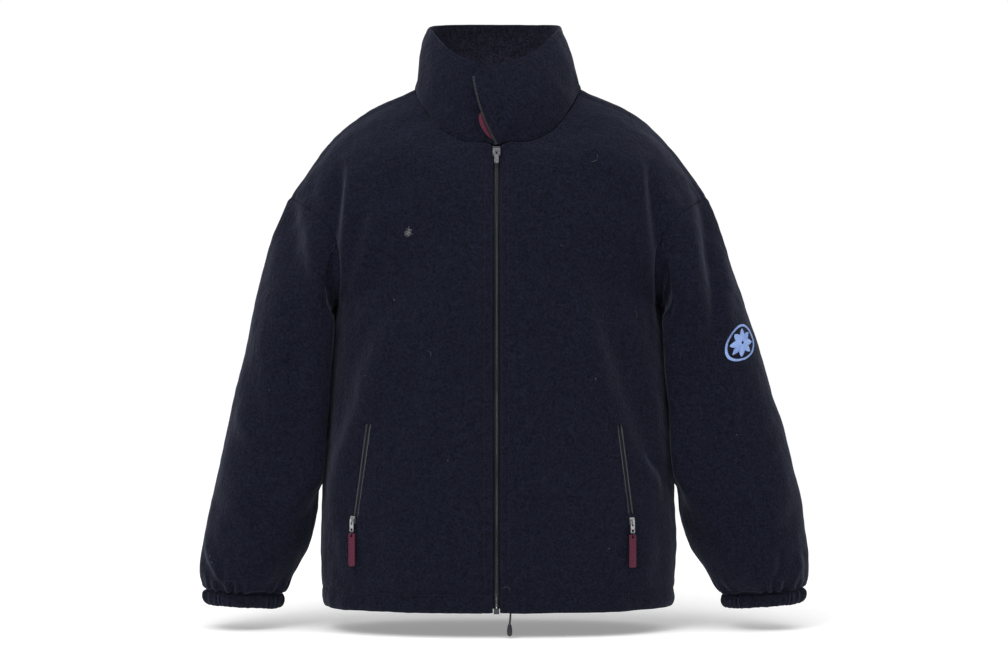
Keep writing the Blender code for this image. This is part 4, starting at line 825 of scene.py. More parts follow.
def free_edges(faces, count):
    """The directed edges that only one face uses, and the face of each."""
    pairs = np.concatenate([faces[:, [k, (k + 1) % 4]] for k in range(4)])
    owner = np.tile(np.arange(len(faces)), 4)
    code, back = pairs[:, 0] * count + pairs[:, 1], pairs[:, 1] * count + pairs[:, 0]
    free = ~np.isin(back, code) & (pairs[:, 0] != pairs[:, 1])
    return pairs[free], owner[free]


def drawn_in(points, faces, normals):
    """The points with each free edge moved half a seam gap into its piece."""
    edges, owner = free_edges(faces, len(points))
    middle = points[faces].mean(axis=1)
    along = unit(points[edges[:, 1]] - points[edges[:, 0]])
    inward = middle[owner] - points[edges[:, 0]]
    pull = np.zeros_like(points)
    for end in (0, 1):
        across = unit(np.cross(along, normals[edges[:, end]]))
        np.add.at(pull, edges[:, end], across * np.sign((across * inward).sum(axis=1))[:, None])
    return points + unit(pull) * (SEAM_GAP / 2), edges


def placed(item, node=None):
    """A piece fixed to the jacket, with the CAD node that it replaces hidden."""
    if node:
        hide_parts(node)
    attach(item, "jacket")
    return item


def mesh_object(name, points, faces, finish, sharp=None):
    mesh = bpy.data.meshes.new(name)
    mesh.from_pydata(np.asarray(points).tolist(), [], [tuple(f) for f in faces])
    mesh.validate()
    mesh.shade_smooth()
    if sharp:
        mesh.set_sharp_from_angle(angle=math.radians(sharp))
    mesh.materials.append(finish)
    item = bpy.data.objects.new(name, mesh)
    bpy.context.scene.collection.objects.link(item)
    return item


def cloth_shell(name, parts, finish, inside_finish):
    """One object from one or more sewn pieces, each with an outer face, an inner face and a rim."""
    points, faces, inside, start = [], [], [], 0
    for item in parts:
        outer, edges = drawn_in(item["outer"], item["faces"], item["normals"])
        inner = drawn_in(item["points"], item["faces"], item["normals"])[0]
        inner = inner - item["normals"] * item["wall"][:, None]
        count = len(outer)
        a, b = edges[:, 0], edges[:, 1]
        rim = np.stack([b, a, a + count, b + count], axis=1)
        points += [outer, inner]
        faces += [item["faces"] + start, item["faces"][:, ::-1] + count + start, rim + start]
        inside += [0] * len(item["faces"]) + [1] * len(item["faces"]) + [0] * len(rim)
        start += 2 * count
    shell = mesh_object(name, np.concatenate(points), np.concatenate(faces).tolist(), finish, 60)
    if inside_finish is not finish:
        shell.data.materials.append(inside_finish)
        shell.data.polygons.foreach_set("material_index", inside)
    return shell


# ---------------------------------------------------------------- materials
def new_material(name, colour, roughness, metallic=0.0):
    material = bpy.data.materials.new(name)
    material.use_nodes = True
    shader = material.node_tree.nodes["Principled BSDF"]
    shader.inputs["Base Color"].default_value = (*colour, 1)
    shader.inputs["Roughness"].default_value = roughness
    shader.inputs["Metallic"].default_value = metallic
    return material, material.node_tree, shader


def noise(tree, scale, detail=2.0, roughness=0.5):
    node = tree.nodes.new("ShaderNodeTexNoise")
    node.inputs["Scale"].default_value = scale
    node.inputs["Detail"].default_value = detail
    node.inputs["Roughness"].default_value = roughness
    place = tree.nodes.new("ShaderNodeTexCoord").outputs["Object"]
    tree.links.new(place, node.inputs["Vector"])
    return node.outputs["Fac"]


def between(tree, value, low, high, start=0.3, stop=0.7):
    """A colour between low and high as the value goes from start to stop."""
    ramp = tree.nodes.new("ShaderNodeValToRGB")
    ramp.color_ramp.elements[0].position = start
    ramp.color_ramp.elements[1].position = stop
    ramp.color_ramp.elements[0].color = (*low, 1)
    ramp.color_ramp.elements[1].color = (*high, 1)
    tree.links.new(value, ramp.inputs["Fac"])
    return ramp.outputs["Color"]


def times(tree, first, second):
    node = tree.nodes.new("ShaderNodeMix")
    node.data_type = "RGBA"
    node.blend_type = "MULTIPLY"
    node.inputs["Factor"].default_value = 1.0
    tree.links.new(first, node.inputs["A"])
    tree.links.new(second, node.inputs["B"])
    return node.outputs["Result"]


def bump(tree, shader, value, distance, strength=1.0, before=None):
    node = tree.nodes.new("ShaderNodeBump")
    node.inputs["Distance"].default_value = distance
    node.inputs["Strength"].default_value = strength
    tree.links.new(value, node.inputs["Height"])
    if before is not None:
        tree.links.new(before, node.inputs["Normal"])
    tree.links.new(node.outputs["Normal"], shader.inputs["Normal"])
    return node.outputs["Normal"]


def fleece(name, colour, nap=1.0):
    """Brushed fleece: a short soft pile with faint mottling and a pale bloom where it is seen edge on."""
    material, tree, shader = new_material(name, colour, 1.0)
    low = tuple(c * 0.86 for c in colour)
    high = tuple(c * 1.15 for c in colour)
    patches = between(tree, noise(tree, 90, 3.0, 0.6), low, high, 0.30, 0.72)
    pile = between(tree, noise(tree, 330, 3.0, 0.75), (0.34, 0.34, 0.34), (1.62, 1.62, 1.62), 0.34, 0.68)
    tree.links.new(times(tree, patches, pile), shader.inputs["Base Color"])
    coarse = bump(tree, shader, noise(tree, 260, 2.0, 0.6), 0.0013 * nap, 0.85)
    bump(tree, shader, noise(tree, 900, 2.0, 0.6), 0.0006 * nap, 0.75, coarse)
    shader.inputs["Specular IOR Level"].default_value = 0.08
    shader.inputs["Sheen Weight"].default_value = 0.11
    shader.inputs["Sheen Roughness"].default_value = 0.42
    shader.inputs["Sheen Tint"].default_value = (0.62, 0.66, 0.90, 1)
    return material


def woven(name, colour, pitch, depth, roughness=0.75):
    """A narrow ribbed tape."""
    material, tree, shader = new_material(name, colour, roughness)
    wave = tree.nodes.new("ShaderNodeTexWave")
    wave.bands_direction = "Z"
    wave.inputs["Scale"].default_value = 0.05 * 2 * math.pi / pitch / 2
    wave.inputs["Distortion"].default_value = 0.4
    place = tree.nodes.new("ShaderNodeTexCoord").outputs["Object"]
    tree.links.new(place, wave.inputs["Vector"])
    low = tuple(c * 0.72 for c in colour)
    high = tuple(c * 1.2 for c in colour)
    ribs = between(tree, wave.outputs["Fac"], low, high, 0.2, 0.8)
    grain = between(tree, noise(tree, 900, 2.0), (0.85, 0.85, 0.85), (1.15, 1.15, 1.15))
    tree.links.new(times(tree, ribs, grain), shader.inputs["Base Color"])
    bump(tree, shader, wave.outputs["Fac"], depth, 0.6)
    shader.inputs["Sheen Weight"].default_value = 0.03
    shader.inputs["Specular IOR Level"].default_value = 0.15
    return material


def metal(name, colour, roughness):
    """Plated die-cast metal with faint scuffs."""
    material, tree, shader = new_material(name, colour, roughness, 1.0)
    low, high = tuple(c * 0.7 for c in colour), tuple(c * 1.35 for c in colour)
    scuffs = between(tree, noise(tree, 400, 3.0), low, high)
    tree.links.new(scuffs, shader.inputs["Base Color"])
    return material


def moulded(name, colour, roughness):
    material, tree, shader = new_material(name, colour, roughness)
    low, high = tuple(c * 0.85 for c in colour), tuple(c * 1.15 for c in colour)
    tree.links.new(between(tree, noise(tree, 700, 1.0), low, high), shader.inputs["Base Color"])
    return material


def make_materials():
    return {
        "fleece": fleece("fleece", (0.0062, 0.0071, 0.0150)),
        # the collar's inner face: a warmer fleece whose extra lightness is painted light, standing in for the
        # light that falls inside the collar
        "collar_inside_painted_light": fleece("collar_inside_painted_light", (0.0165, 0.0160, 0.0285)),
        "band": fleece("band", (0.0068, 0.0077, 0.0152), 0.7),
        "zip_tape": woven("zip_tape", (0.012, 0.013, 0.021), 0.0011, 0.0003),
        "zip_teeth": moulded("zip_teeth", (0.024, 0.026, 0.032), 0.42),
        "pocket_teeth": moulded("pocket_teeth", (0.085, 0.09, 0.10), 0.40),
        "metal": metal("metal", (0.070, 0.070, 0.076), 0.42),
        # the pocket sliders' metal: painted lighter than the zip slider's, to make up for the shade the
        # pocket sliders sit in
        "metal_painted_lighter": metal("metal_painted_lighter", (0.42, 0.42, 0.43), 0.38),
        "maroon": woven("maroon", (0.088, 0.0165, 0.034), 0.0012, 0.0004, 0.7),
        "thread": moulded("thread", (0.0030, 0.0034, 0.0100), 0.9),
        "pale_thread": moulded("pale_thread", (0.26, 0.38, 0.70), 0.5),
        "lint": moulded("lint", (0.16, 0.16, 0.18), 0.9),
        "cord": moulded("cord", (0.012, 0.013, 0.022), 0.7),
        "moulding": moulded("moulding", (0.010, 0.010, 0.015), 0.42),
    }


# ---------------------------------------------------------------- studio
# name, power, (width, height), place and the point that it faces
LAMPS = (
    ("behind", 22, (5.0, 1.6), (0, 2.6, 1.0), (0, 1.1, -0.74)),
    ("top", 88, (4.4, 2.6), (0, -1.15, 2.0), (0, -0.1, -0.1)),
    ("key", 24, (1.4, 1.2), (-1.0, -2.2, 1.5), (-0.03, 0, -0.25)),
    ("left", 1.4, (0.7, 1.4), (-2.0, -0.5, 0.0), (-0.3, 0, -0.4)),
    ("right", 0.5, (0.7, 1.4), (2.1, -0.5, 0.1), (0.3, 0, -0.4)),
)
WORLD_LIGHT = 0.30
WORLD_SEEN = 1.02
FLOOR_GLOW = 0.27


def camera():
    scene = bpy.context.scene
    data = bpy.data.cameras.new("camera")
    data.lens, data.sensor_width = 90.6, 36.0
    item = bpy.data.objects.new("camera", data)
    item.location = (0.010, -3.5, -0.337)
    item.rotation_euler = (math.pi / 2, 0, 0)
    scene.collection.objects.link(item)
    scene.camera = item
    scene.view_settings.view_transform = "Standard"


def white_world():
    """A world that is white to the camera and gives the object a softer light."""
    world = bpy.data.worlds.new("world")
    world.use_nodes = True
    tree = world.node_tree
    sky = tree.nodes["Background"]
    sky.inputs["Color"].default_value = (1, 1, 1, 1)
    path = tree.nodes.new("ShaderNodeLightPath")
    level = tree.nodes.new("ShaderNodeMapRange")
    level.inputs["To Min"].default_value = WORLD_LIGHT
    level.inputs["To Max"].default_value = WORLD_SEEN
    tree.links.new(path.outputs["Is Camera Ray"], level.inputs["Value"])
    tree.links.new(level.outputs["Result"], sky.inputs["Strength"])
    bpy.context.scene.world = world


def floor():
    finish, tree, shader = new_material("floor", (0.93, 0.93, 0.93), 0.9)
    mottle = between(tree, noise(tree, 3), (0.92, 0.92, 0.92), (0.94, 0.94, 0.94))
    tree.links.new(mottle, shader.inputs["Base Color"])
    shader.inputs["Emission Color"].default_value = (1, 1, 1, 1)
    shader.inputs["Emission Strength"].default_value = FLOOR_GLOW
    corners = [(-2.6, -2.2, GROUND), (2.6, -2.2, GROUND), (2.6, 1.6, GROUND), (-2.6, 1.6, GROUND)]
    mesh_object("floor", corners, [(0, 1, 2, 3)], finish)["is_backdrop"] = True


def studio():
    camera()
    white_world()
    floor()
    for name, power, size, place, aim in LAMPS:
        data = bpy.data.lights.new(name, "AREA")
        data.energy = power
        data.shape = "RECTANGLE"
        data.size, data.size_y = size
        item = bpy.data.objects.new(name, data)
        bpy.context.scene.collection.objects.link(item)
        item.location = place
        item.rotation_euler = (Vector(aim) - Vector(place)).to_track_quat("-Z", "Y").to_euler()


# ---------------------------------------------------------------- thread and zip teeth
def resampled(points, normals, pitch, start=0.0):
    """Even places along a line, with the normal and the direction of the line at each."""
    run = arc_from(points, 0)
    at = np.arange(start, run[-1], pitch)
    along = unit(read_line(at + 0.0005, run, points) - read_line(at - 0.0005, run, points))
    return read_line(at, run, points), unit(read_line(at, run, normals)), along


# rings along a stitch: share of its length, girth and rise, both in shares of the thread's radius
STITCH_RINGS = ((-0.5, 0.35, -1.1), (-0.36, 0.9, 0.0), (0.0, 1.0, 0.3), (0.36, 0.9, 0.0), (0.5, 0.35, -1.1))
STITCH_SIDES = 6


def stitch_mesh(place, out, along, length, radius):
    """Points and faces of stitches at the places, each a small bent capsule with sunk ends."""
    across = np.cross(along, out)
    angles = (np.arange(STITCH_SIDES) * 2 * math.pi / STITCH_SIDES)[:, None]
    around = np.cos(angles) * out[:, None] + np.sin(angles) * across[:, None]
    length = np.broadcast_to(length, len(place))[:, None, None]
    points = []
    for share, girth, rise in STITCH_RINGS:
        centre = place[:, None] + along[:, None] * length * share + out[:, None] * radius * rise
        points.append(centre + around * radius * girth)
    points = np.stack(points, axis=1).reshape(len(place), -1, 3)
    return repeated(points, tube_faces(len(STITCH_RINGS), STITCH_SIDES, False))


def tube_faces(rings, sides, capped=True):
    """The faces of a tube of rings of points, with a cap at each end."""
    faces = []
    for start in range(0, (rings - 1) * sides, sides):
        for c in range(sides):
            d = (c + 1) % sides
            faces.append((start + c, start + d, start + sides + d, start + sides + c))
    if capped:
        faces += [tuple(range(sides))[::-1], tuple(range((rings - 1) * sides, rings * sides))]
    return faces


def repeated(points, faces):
    """Copies of one set of faces over rows of points."""
    count = points.shape[1]
    starts = np.arange(len(points)) * count
    faces = np.array(faces)
    return points.reshape(-1, 3), (faces[None] + starts[:, None, None]).reshape(-1, faces.shape[1])


def stitches(name, lines, finish, off):
    """One object of stitches along lines of (points, normals)."""
    points, faces, start = [], [], 0
    for line, normals in lines:
        place, out, along = resampled(line, normals, STITCH_PITCH, STITCH_PITCH * 0.4)
        more, quads = stitch_mesh(place + out * off, out, along, STITCH, THREAD)
        points.append(more)
        faces.append(quads + start)
        start += len(more)
    placed(mesh_object(name, np.concatenate(points), np.concatenate(faces).tolist(), finish))


def grid_of(item, what="outer"):
    return item[what].reshape(*item["shape"], 3)


def line_at(item, distances, at, keep=None, columns=False):
    """The line on a piece's outer face at one distance from an edge, along each of its rows or columns."""
    outer, normals = grid_of(item), grid_of(item, "normals")
    if columns:
        outer, normals, distances = outer.transpose(1, 0, 2), normals.transpose(1, 0, 2), distances.T
    found, out = [], []
    for r in range(len(outer)):
        if keep is None or keep[r]:
            order = np.argsort(distances[r])
            found.append(read_line(at, distances[r][order], outer[r, order]))
            out.append(read_line(at, distances[r][order], normals[r, order]))
    return np.array(found), unit(np.array(out))


def seam_stitching(by_name, finish):
    """Topstitching beside the zip and the shoulder seam, round the hem and round the collar's edges."""
    lines = []
    for word in ("left", "right"):
        item = by_name["front_" + word]
        grid = grid_of(item, "points")
        beyond_neck = arc_from(grid, 1)[-1] > 0.004
        lines.append(line_at(item, arc_from(grid, 0, True), YOKE_LINE, beyond_neck, True))
        below_neck = panel_rows(-1) < BODY_LAST + FRONT_NECK_ROW - 0.1
        lines.append(line_at(item, arc_from(grid, 1), PLACKET_LINE, below_neck))
        lines.append(line_at(item, arc_from(grid, 1), 0.0026, below_neck))
    stitches("placket_stitching", lines, finish, off=0.0001)
    lines = []
    for name in ("front_left", "front_right", "back_left", "back_right"):
        height = grid_of(by_name[name], "points")[:, :, 2] - BODY["z"][0]
        lines.append(line_at(by_name[name], height, HEM_LINE, columns=True))
    stitches("hem_stitching", lines, finish, off=0.0002)
    item = by_name["collar"]
    grid = grid_of(item, "points")
    start, end, rim = arc_from(grid, 1), arc_from(grid, 1, True), arc_from(grid, 0, True)
    inside = np.minimum(start, end).max(axis=0) > END_LINE + 0.0002
    lines = [line_at(item, rim, RIM_LINE, inside, True)]
    lines.append(line_at(item, start, END_LINE, rim[:, 0] > RIM_LINE))
    lines.append(line_at(item, end, END_LINE, rim[:, -1] > RIM_LINE))
    stitches("collar_stitching", lines, finish, off=0.0001)


TOOTH_RINGS = ((1.0, 0.0), (1.0, 0.55), (0.82, 0.88), (0.45, 1.0))  # shares of its width and height


def teeth(name, place, out, along, across, size, finish):
    """One object of zip teeth: blocks (across, along, high) with their tops drawn in."""
    wide, long, high = size
    corners = []
    for share, level in TOOTH_RINGS:
        for x, y in ((-0.5, -0.5), (0.5, -0.5), (0.5, 0.5), (-0.5, 0.5)):
            corners.append(across * x * wide * share + along * y * long * share + out * high * level)
    points = place[:, None] + np.stack(corners, axis=1)
    points, faces = repeated(points, tube_faces(len(TOOTH_RINGS), 4))
    return mesh_object(name, points, faces.tolist(), finish, 50)


def centre_line(count, top, bottom):
    """Points of the centre front from bottom to top, and the outward direction at each."""
    rows = np.linspace(0, BODY_LAST + FRONT_NECK_ROW, 400)
    line = section(-1, 1, rows, [0.0])[:, 0] * (0, 1, 1)
    heights = np.linspace(bottom, top, count)
    points = read_line(heights, line[:, 2], line)
    return points, forward(unit(np.cross(np.gradient(points, axis=0), (1.0, 0.0, 0.0))))


def main_zip(finishes):
    line, out = centre_line(200, ZIP_TOP - CHAIN_TOP_GAP, ZIP_BOTTOM + CHAIN_LOW_GAP)
    place, normal, along = resampled(line - out * (ZIP_DEPTH - SEAM_GAP), out, TEETH_PITCH / 2)
    side = np.where(np.arange(len(place)) % 2 == 0, 1.0, -1.0)[:, None]
    across = np.tile((1.0, 0.0, 0.0), (len(place), 1)) * side
    place = place + across * 0.00115
    chain = teeth("chain_teeth", place, normal, along, across, MAIN_TOOTH, finishes["zip_teeth"])
    placed(chain, "zip_chain")


def collar_zip(finishes):
    """The open teeth beyond each front edge of the collar."""
    grid = collar_grid()
    for word, column, beside in (("left", 0, 3), ("right", -1, -4)):
        edge = grid[1:-2, column]
        beyond = unit(edge - grid[1:-2, beside])
        ahead = unit(np.gradient(edge, axis=0))
        out = forward(unit(np.cross(beyond, ahead)))
        path = edge + beyond * 0.0024 - out * 0.0030
        place, normal, along = resampled(path, out, TEETH_PITCH)
        across = np.cross(along, normal)
        row = teeth("teeth_" + word, place, normal, along, across, COLLAR_TOOTH, finishes["zip_teeth"])
        placed(row, "collar_teeth_" + word)


def pocket_line(by_name, word, count=60):
    """Points down a pocket's slit on the outer cloth, with the normals and the directions across it."""
    place = POCKETS[word]
    t = np.linspace(0, SLIT_LOWER, count)[:, None]
    flat = np.array(place["top"]) * (1 - t) + np.array(place["bottom"]) * t
    tree = by_name["front_" + word]["tree"]
    points, normals = [], []
    for x, z in flat:
        hit, normal, _, _ = tree.ray_cast(Vector((x, -1.0, z)), Vector((0, 1, 0)))
        points.append(hit)
        normals.append(normal)
    points, normals = np.array(points), np.array(normals)
    normals = forward(unit(np.tile(normals.mean(axis=0), (count, 1)) + normals * 0.3))
    return points, normals, unit(np.cross(unit(points[-1] - points[0]), normals))


def strip(points, across, out, width, low, high):
    """A closed strip of rectangular section along the points, from low to high along out."""
    half = across * width / 2
    corners = [points - half + out * low, points + half + out * low]
    corners += [points + half + out * high, points - half + out * high]
    return np.stack(corners, axis=1).reshape(-1, 3), tube_faces(len(points), 4)


def turned_out(item):
    """Turns the faces of a closed mesh outwards."""
    work = bmesh.new()
    work.from_mesh(item.data)
    bmesh.ops.recalc_face_normals(work, faces=work.faces)
    work.to_mesh(item.data)
    work.free()
    return item


def cut_slit(shell, by_name, word, finish):
    """Opens the pocket's slit in a front."""
    points, normals, across = pocket_line(by_name, word, 12)
    corners, faces = strip(points, across, normals, POCKET_SLOT, -0.012, 0.012)
    cutter = turned_out(mesh_object("cutter_" + word, corners, faces, finish))
    hole = shell.modifiers.new("slit", "BOOLEAN")
    hole.operation = "DIFFERENCE"
    hole.solver = "EXACT"
    hole.object = cutter
    bpy.context.view_layer.update()
    seen = shell.evaluated_get(bpy.context.evaluated_depsgraph_get())
    mesh = bpy.data.meshes.new_from_object(seen)
    shell.modifiers.remove(hole)
    shell.data = mesh
    bpy.data.objects.remove(cutter, do_unlink=True)


def pocket_zip(by_name, word, finishes):
    """Two rows of small teeth at the edges of a slit, on a tape behind it."""
    points, normals, across = pocket_line(by_name, word)
    behind = points - normals * 0.0026
    rows = []
    for side in (1, -1):
        place, out, along = resampled(behind + across * side * 0.0029, normals, 0.0016)
        rows.append((place, out, along, np.cross(along, out)))
    place, out, along, over = (np.concatenate(parts) for parts in zip(*rows))
    row = teeth("pocket_teeth_" + word, place, out, along, over, POCKET_TOOTH, finishes["pocket_teeth"])
    placed(row)
    corners, faces = strip(points, across, normals, 0.013, -0.0042, -0.0034)
    placed(mesh_object("pocket_tape_" + word, corners, faces, finishes["zip_tape"]))


def underlap(finishes):
    """The maroon tape that shows between the flap's teeth and the under half of the collar."""
    grid = collar_grid()
    v = np.linspace(*UNDERLAP_SPAN, 40)
    rows = np.linspace(0, 1, len(grid))
    edge = read_line(v, rows, grid[:, 0])
    across = unit(edge - read_line(v, rows, grid[:, 4]))
    out = forward(unit(np.cross(across, unit(np.gradient(edge, axis=0)))))
    share = (v - v[0]) / (v[-1] - v[0])
    width = 0.002 + (UNDERLAP_WIDTH - 0.002) * np.sin(math.pi * (1 - share) ** 0.8) ** 0.8
    path = edge + across * (0.0026 + width[:, None] / 2)
    corners, faces = strip(path, across * width[:, None] / 0.01, out, 0.01, -0.0052, -0.0044)
    tape = turned_out(mesh_object("underlap_tape", corners, faces, finishes["maroon"]))
    placed(tape, "collar_tape")


def curve_object(name, lines, radius, resolution, finish):
    """Round threads or cords along lines of points."""
    curve = bpy.data.curves.new(name, "CURVE")
    curve.dimensions = "3D"
    for line in lines:
        spline = curve.splines.new("POLY")
        spline.points.add(len(line) - 1)
        for point, place in zip(spline.points, line):
            point.co = (*place, 1)
    curve.bevel_depth = radius
    curve.bevel_resolution = resolution
    curve.materials.append(finish)
    item = bpy.data.objects.new(name, curve)
    bpy.context.scene.collection.objects.link(item)
    return item


# the moulded drop on the cord's end: from its top down, and its radius there
DROP = np.array([
    (0.0, 0.0016), (0.0006, 0.0021), (0.0020, 0.0026), (0.0070, 0.0034),
    (0.0110, 0.0036), (0.0140, 0.0031), (0.0155, 0.0020), (0.0162, 0.0007),
])
DROP_RINGS = 30
DROP_SIDES = 28
CORD_BOW = 0.0012        # how far the cord bows sideways
CORD_LEAN = 0.0006       # how far back its end hangs


def cord_drop(inside, finish):
    """The moulded drop that hangs on the cord's end."""
    at = np.linspace(0, len(DROP) - 1, DROP_RINGS)
    angles = np.arange(DROP_SIDES) * 2 * math.pi / DROP_SIDES
    down, radius = smooth(DROP[:, 0], at), smooth(DROP[:, 1], at)
    x = CORD_X + radius[:, None] * np.cos(angles)
    y = inside + CORD_LEAN + radius[:, None] * np.sin(angles)
    z = np.broadcast_to((CORD_LOW - 0.0003 - down)[:, None], x.shape)
    points = np.stack([x, y, z], axis=-1).reshape(-1, 3)
    end = mesh_object("cord_drop", points, tube_faces(DROP_RINGS, DROP_SIDES), finish)
    return placed(end, "drawcord_end")


def hem_cord(finishes):
    """The free end of the hem cord."""
    inside = -BODY["front"][0] + BODY["wall"][0] + CORD_DIAMETER / 2 + 0.0030
    line = []
    for z in np.linspace(CORD_TOP, CORD_LOW, 24):
        t = (CORD_TOP - z) / (CORD_TOP - CORD_LOW)
        line.append((CORD_X + CORD_BOW * math.sin(t * math.pi), inside + CORD_LEAN * t, z))
    cord = curve_object("hem_cord", [line], CORD_DIAMETER / 2, 4, finishes["cord"])
    cord.data.use_fill_caps = True
    placed(cord, "drawcord")
    end = cord_drop(inside, finishes["moulding"])


# ---------------------------------------------------------------- embroidery and marks
MOTIF = {"across": 0.072, "height": -0.334, "widen": 1.40}


def sleeve_patch(item, height, turn, points):
    """Places and normals on the left sleeve for flat (across, up) points in metres about one spot."""
    rows, columns = item["shape"]
    outer, normals = grid_of(item), grid_of(item, "normals")
    outer_line = np.argmax(outer[:, :, 0], axis=1)
    middle_row = int(np.argmin(np.abs(outer[np.arange(rows), outer_line, 2] - height)))
    ring = outer[middle_row]
    start = int(outer_line[middle_row])
    order = np.roll(np.arange(columns), -start)
    if ring[order[4], 1] > ring[order[0], 1]:
        order = np.roll(order[::-1], 1)
    run = arc_from(ring[order], 0)
    row_step = np.linalg.norm(outer[middle_row + 1, start] - outer[middle_row, start])
    places, out = [], []
    for across, up in points:
        column = float(np.interp(turn + across, run, np.arange(columns)))
        row = middle_row - up / row_step
        r, c = int(row), int(column)
        fr, fc = row - r, column - c
        spots = [(r, order[c % columns], (1 - fr) * (1 - fc)), (r, order[(c + 1) % columns], (1 - fr) * fc),
                 (r + 1, order[c % columns], fr * (1 - fc)), (r + 1, order[(c + 1) % columns], fr * fc)]
        places.append(sum(outer[a, b] * w for a, b, w in spots))
        out.append(sum(normals[a, b] * w for a, b, w in spots))
    return np.array(places), unit(np.array(out))


def motif_lines():
    """A plain star of eight blades in a ring, as the ends of each satin stitch, in metres."""
    ends = []
    for k in range(8):
        angle = k * math.pi / 4 + math.pi / 8
        toward = np.array([math.cos(angle), math.sin(angle)])
        beside = toward[::-1] * (-1, 1)
        for share in np.linspace(0.12, 1.0, 30):
            half = 0.0042 * math.sin(math.pi * share) ** 0.8 + 0.0004
            centre = toward * 0.0185 * share
            ends.append((centre - beside * half, centre + beside * half))
    for k in range(190):
        angle = k * 2 * math.pi / 190
        toward = np.array([math.cos(angle), math.sin(angle)])
        ends.append((toward * 0.0215, toward * 0.0245))
    return ends


def embroidery(by_name, finishes):
    """Satin stitches of pale thread on the outside of the left sleeve."""
    ends = motif_lines()
    flat = np.array([p for pair in ends for p in pair]) * (MOTIF["widen"], 1.0)
    places, out = sleeve_patch(by_name["sleeve_left"], MOTIF["height"], MOTIF["across"], flat)
    first, second = places[0::2], places[1::2]
    normals = unit(out[0::2] + out[1::2])
    along = second - first
    length = np.linalg.norm(along, axis=1)
    along = unit(along)
    middle = (first + second) / 2 + normals * 0.0004
    points, faces = stitch_mesh(middle, normals, along, length + 0.0004, 0.00036)
    placed(mesh_object("sleeve_embroidery", points, faces.tolist(), finishes["pale_thread"]))


def on_cloth(item, x, z):
    """A spot on the front of a piece, with the directions out of, across and up the cloth there."""
    hit, normal, _, _ = item["tree"].ray_cast(Vector((x, -1.0, z)), Vector((0, 1, 0)))
    out = forward(np.array(normal)[None])[0]
    across = unit(np.cross(out, (0, 0, 1.0)))
    return np.array(hit), out, across, np.cross(across, out)


# a pulled thread, specks of lint and a few short hairs: piece, x, z, then length and turn
SNAG = ("front_right", -0.1175, -0.2003)
SPECKS = (
    ("front_right", -0.1361, -0.2890, 0.0012), ("front_left", 0.1316, -0.3937, 0.0012),
    ("front_right", -0.0640, -0.5020, 0.0009), ("front_left", 0.0860, -0.2170, 0.0008),
    ("sleeve_right", -0.3885, -0.6360, 0.0012), ("sleeve_right", -0.3860, -0.6440, 0.0009),
    ("sleeve_right", -0.3060, -0.4100, 0.0009), ("sleeve_left", 0.3240, -0.4700, 0.0009),
    ("front_left", 0.1500, -0.6200, 0.0009), ("front_right", -0.1750, -0.3900, 0.0008),
)
HAIRS = (
    ("front_left", 0.0132, -0.6719, 0.011, 0.4), ("front_left", 0.1302, -0.1000, 0.013, 2.2),
    ("front_left", 0.1859, -0.3076, 0.009, 1.2), ("front_right", -0.0900, -0.3600, 0.010, 0.9),
)


SPIKES = ((1.5, 0.0085), (3.6, 0.0050), (5.6, 0.0048), (0.3, 0.0040))     # turn and length


def pulled_thread(by_name, rng, finish):
    """A tangle of thread pulled out of the chest, with a few loose ends."""
    name, x, z = SNAG
    lines = []
    for k in range(5):
        place = (x + 0.0012 * (k - 2), z + 0.0022 * math.sin(2.3 * k))
        centre, out, side, up = on_cloth(by_name[name], *place)
        t = np.linspace(0, 2.6 * math.pi, 22)[:, None]
        size = 0.0016 + 0.0012 * rng.random()
        loop = side * size * np.cos(t + k) + up * size * 1.5 * np.sin(t * 0.8 + k)
        lines.append(centre + out * (0.0005 + 0.0004 * np.sin(3 * t)) + loop)
    t = np.linspace(0, 1, 8)[:, None]
    for turn, length in SPIKES:
        away = side * math.cos(turn) + up * math.sin(turn)
        lines.append(centre + out * 0.0005 + away * length * t + side * 0.0006 * np.sin(3 * t))
    placed(curve_object("pulled_thread", lines, 0.00022, 1, finish))


def marks(by_name, finish):
    """The pulled thread, the specks of lint and the short hairs."""
    rng = np.random.default_rng(8)
    pulled_thread(by_name, rng, finish)
    lines = []
    t = np.linspace(-1, 1, 6)[:, None]
    for name, x, z, size in SPECKS:
        centre, out, side, up = on_cloth(by_name[name], x, z)
        turn = rng.uniform(0, math.pi)
        ahead = side * math.cos(turn) + up * math.sin(turn)
        lines.append(centre + out * 0.0003 + ahead * size * t + side * size * 0.4 * t**2)
    placed(curve_object("lint_specks", lines, 0.00024, 1, finish))
    lines = []
    t = np.linspace(-1, 1, 16)[:, None]
    for name, x, z, length, turn in HAIRS:
        centre, out, side, up = on_cloth(by_name[name], x, z)
        ahead = side * math.cos(turn) + up * math.sin(turn)
        beside = up * math.cos(turn) - side * math.sin(turn)
        lines.append(centre + out * 0.0007 + ahead * length / 2 * t + beside * length * 0.3 * (1 - t**2))
    placed(curve_object("short_hairs", lines, 0.00009, 1, finish))


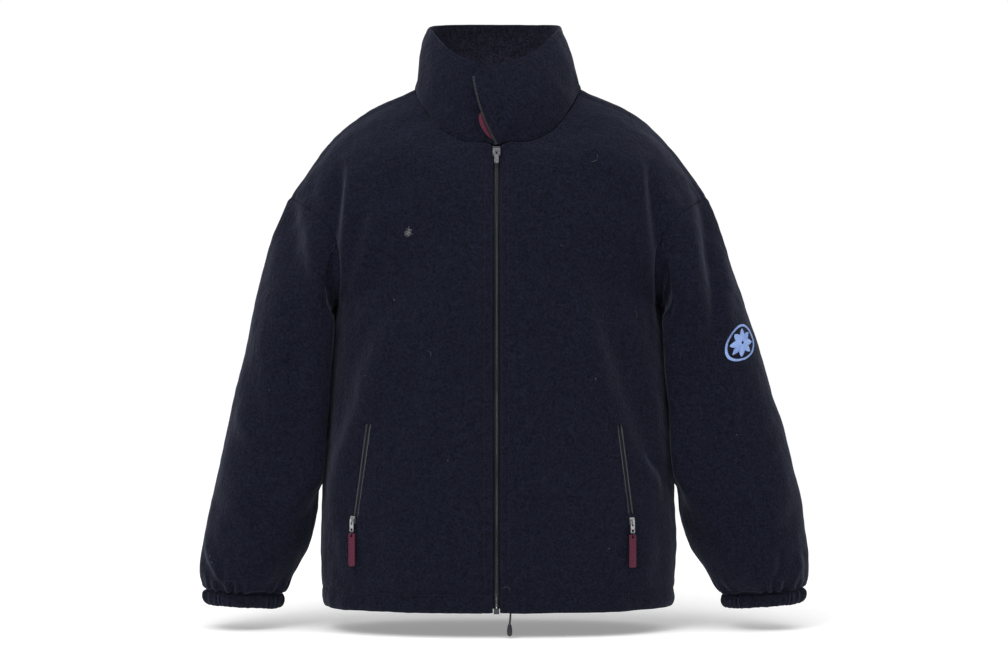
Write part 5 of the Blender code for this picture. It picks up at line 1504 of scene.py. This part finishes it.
# ---------------------------------------------------------------- the jacket
# each sheet as it is cut, without hems and turnings: piece, how it is held, width, length and flat area
CUT = (
    ("front_left", "hung", 0.330, 0.720, 0.205),
    ("front_right", "hung", 0.330, 0.720, 0.205),
    ("back", "hung", 0.680, 0.730, 0.438),
    ("sleeve_left", "hung", 0.550, 0.570, 0.255),
    ("sleeve_right", "hung", 0.550, 0.570, 0.255),
    ("cuff_left", "gathered", 0.300, 0.034, 0.0102),
    ("cuff_right", "gathered", 0.300, 0.034, 0.0102),
    ("collar", "hung", 0.610, 0.120, 0.067),
)


def main():
    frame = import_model()
    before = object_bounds()
    studio()
    finishes = make_materials()
    pieces = cloth_pieces()
    shape_cloth(pieces)
    by_name = {item["name"]: item for item in pieces}
    made = {}
    for name, held, width, length, area in CUT:
        parts = [item for item in pieces if item["name"] == name or item["name"].startswith(name + "_")]
        finish = finishes["band" if name.startswith("cuff") else "fleece"]
        # the collar's inner face takes the fleece painted lighter, as painted light inside the collar
        inside_finish = finishes["collar_inside_painted_light"] if name == "collar" else finish
        shell = cloth_shell(name + "_cloth", parts, finish, inside_finish)
        placed(shell, name)
        made[name] = shell
    for word in ("left", "right"):
        cut_slit(made["front_" + word], by_name, word, finishes["fleece"])
        pocket_zip(by_name, word, finishes)
    seam_stitching(by_name, finishes["thread"])
    main_zip(finishes)
    collar_zip(finishes)
    underlap(finishes)
    embroidery(by_name, finishes)
    marks(by_name, finishes["lint"])
    hem_cord(finishes)
    dress_nodes(frame, finishes)
    sizes = {"cad": before, "scene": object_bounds()}
    sizes = {key: [list(map(float, corner)) for corner in box] for key, box in sizes.items()}


NODE_FINISH = {
    "zip_tape": "zip_tape", "pocket_zip": "zip_tape", "zip_chain": "zip_teeth", "zip_stop": "zip_teeth",
    "collar_teeth": "zip_teeth", "collar_tape": "maroon", "pocket_tab": "maroon", "zip_slider": "metal",
    # the pocket sliders and pulls take the metal painted lighter against their shade
    "zip_pull": "metal", "pocket_ring": "metal", "pocket_slider": "metal_painted_lighter",
    "pocket_pull": "metal_painted_lighter", "pocket_bag": "fleece", "drawcord_end": "moulding", "drawcord": "cord",
}
ROUNDED = ("metal", "metal_painted_lighter", "maroon")


def dress_nodes(frame, finishes):
    """Gives each CAD node its finish, and rounds the edges of the hard ones."""
    for name, item in frame["nodes"].items():
        start = max((key for key in NODE_FINISH if name.startswith(key)), key=len, default=None)
        if start is None:
            continue
        for slot in item.material_slots:
            slot.material = finishes[NODE_FINISH[start]]
        if NODE_FINISH[start] in ROUNDED:
            edge = item.modifiers.new("edge", "BEVEL")
            edge.width = 0.0003
            edge.segments = 2
            edge.limit_method = "ANGLE"


main()
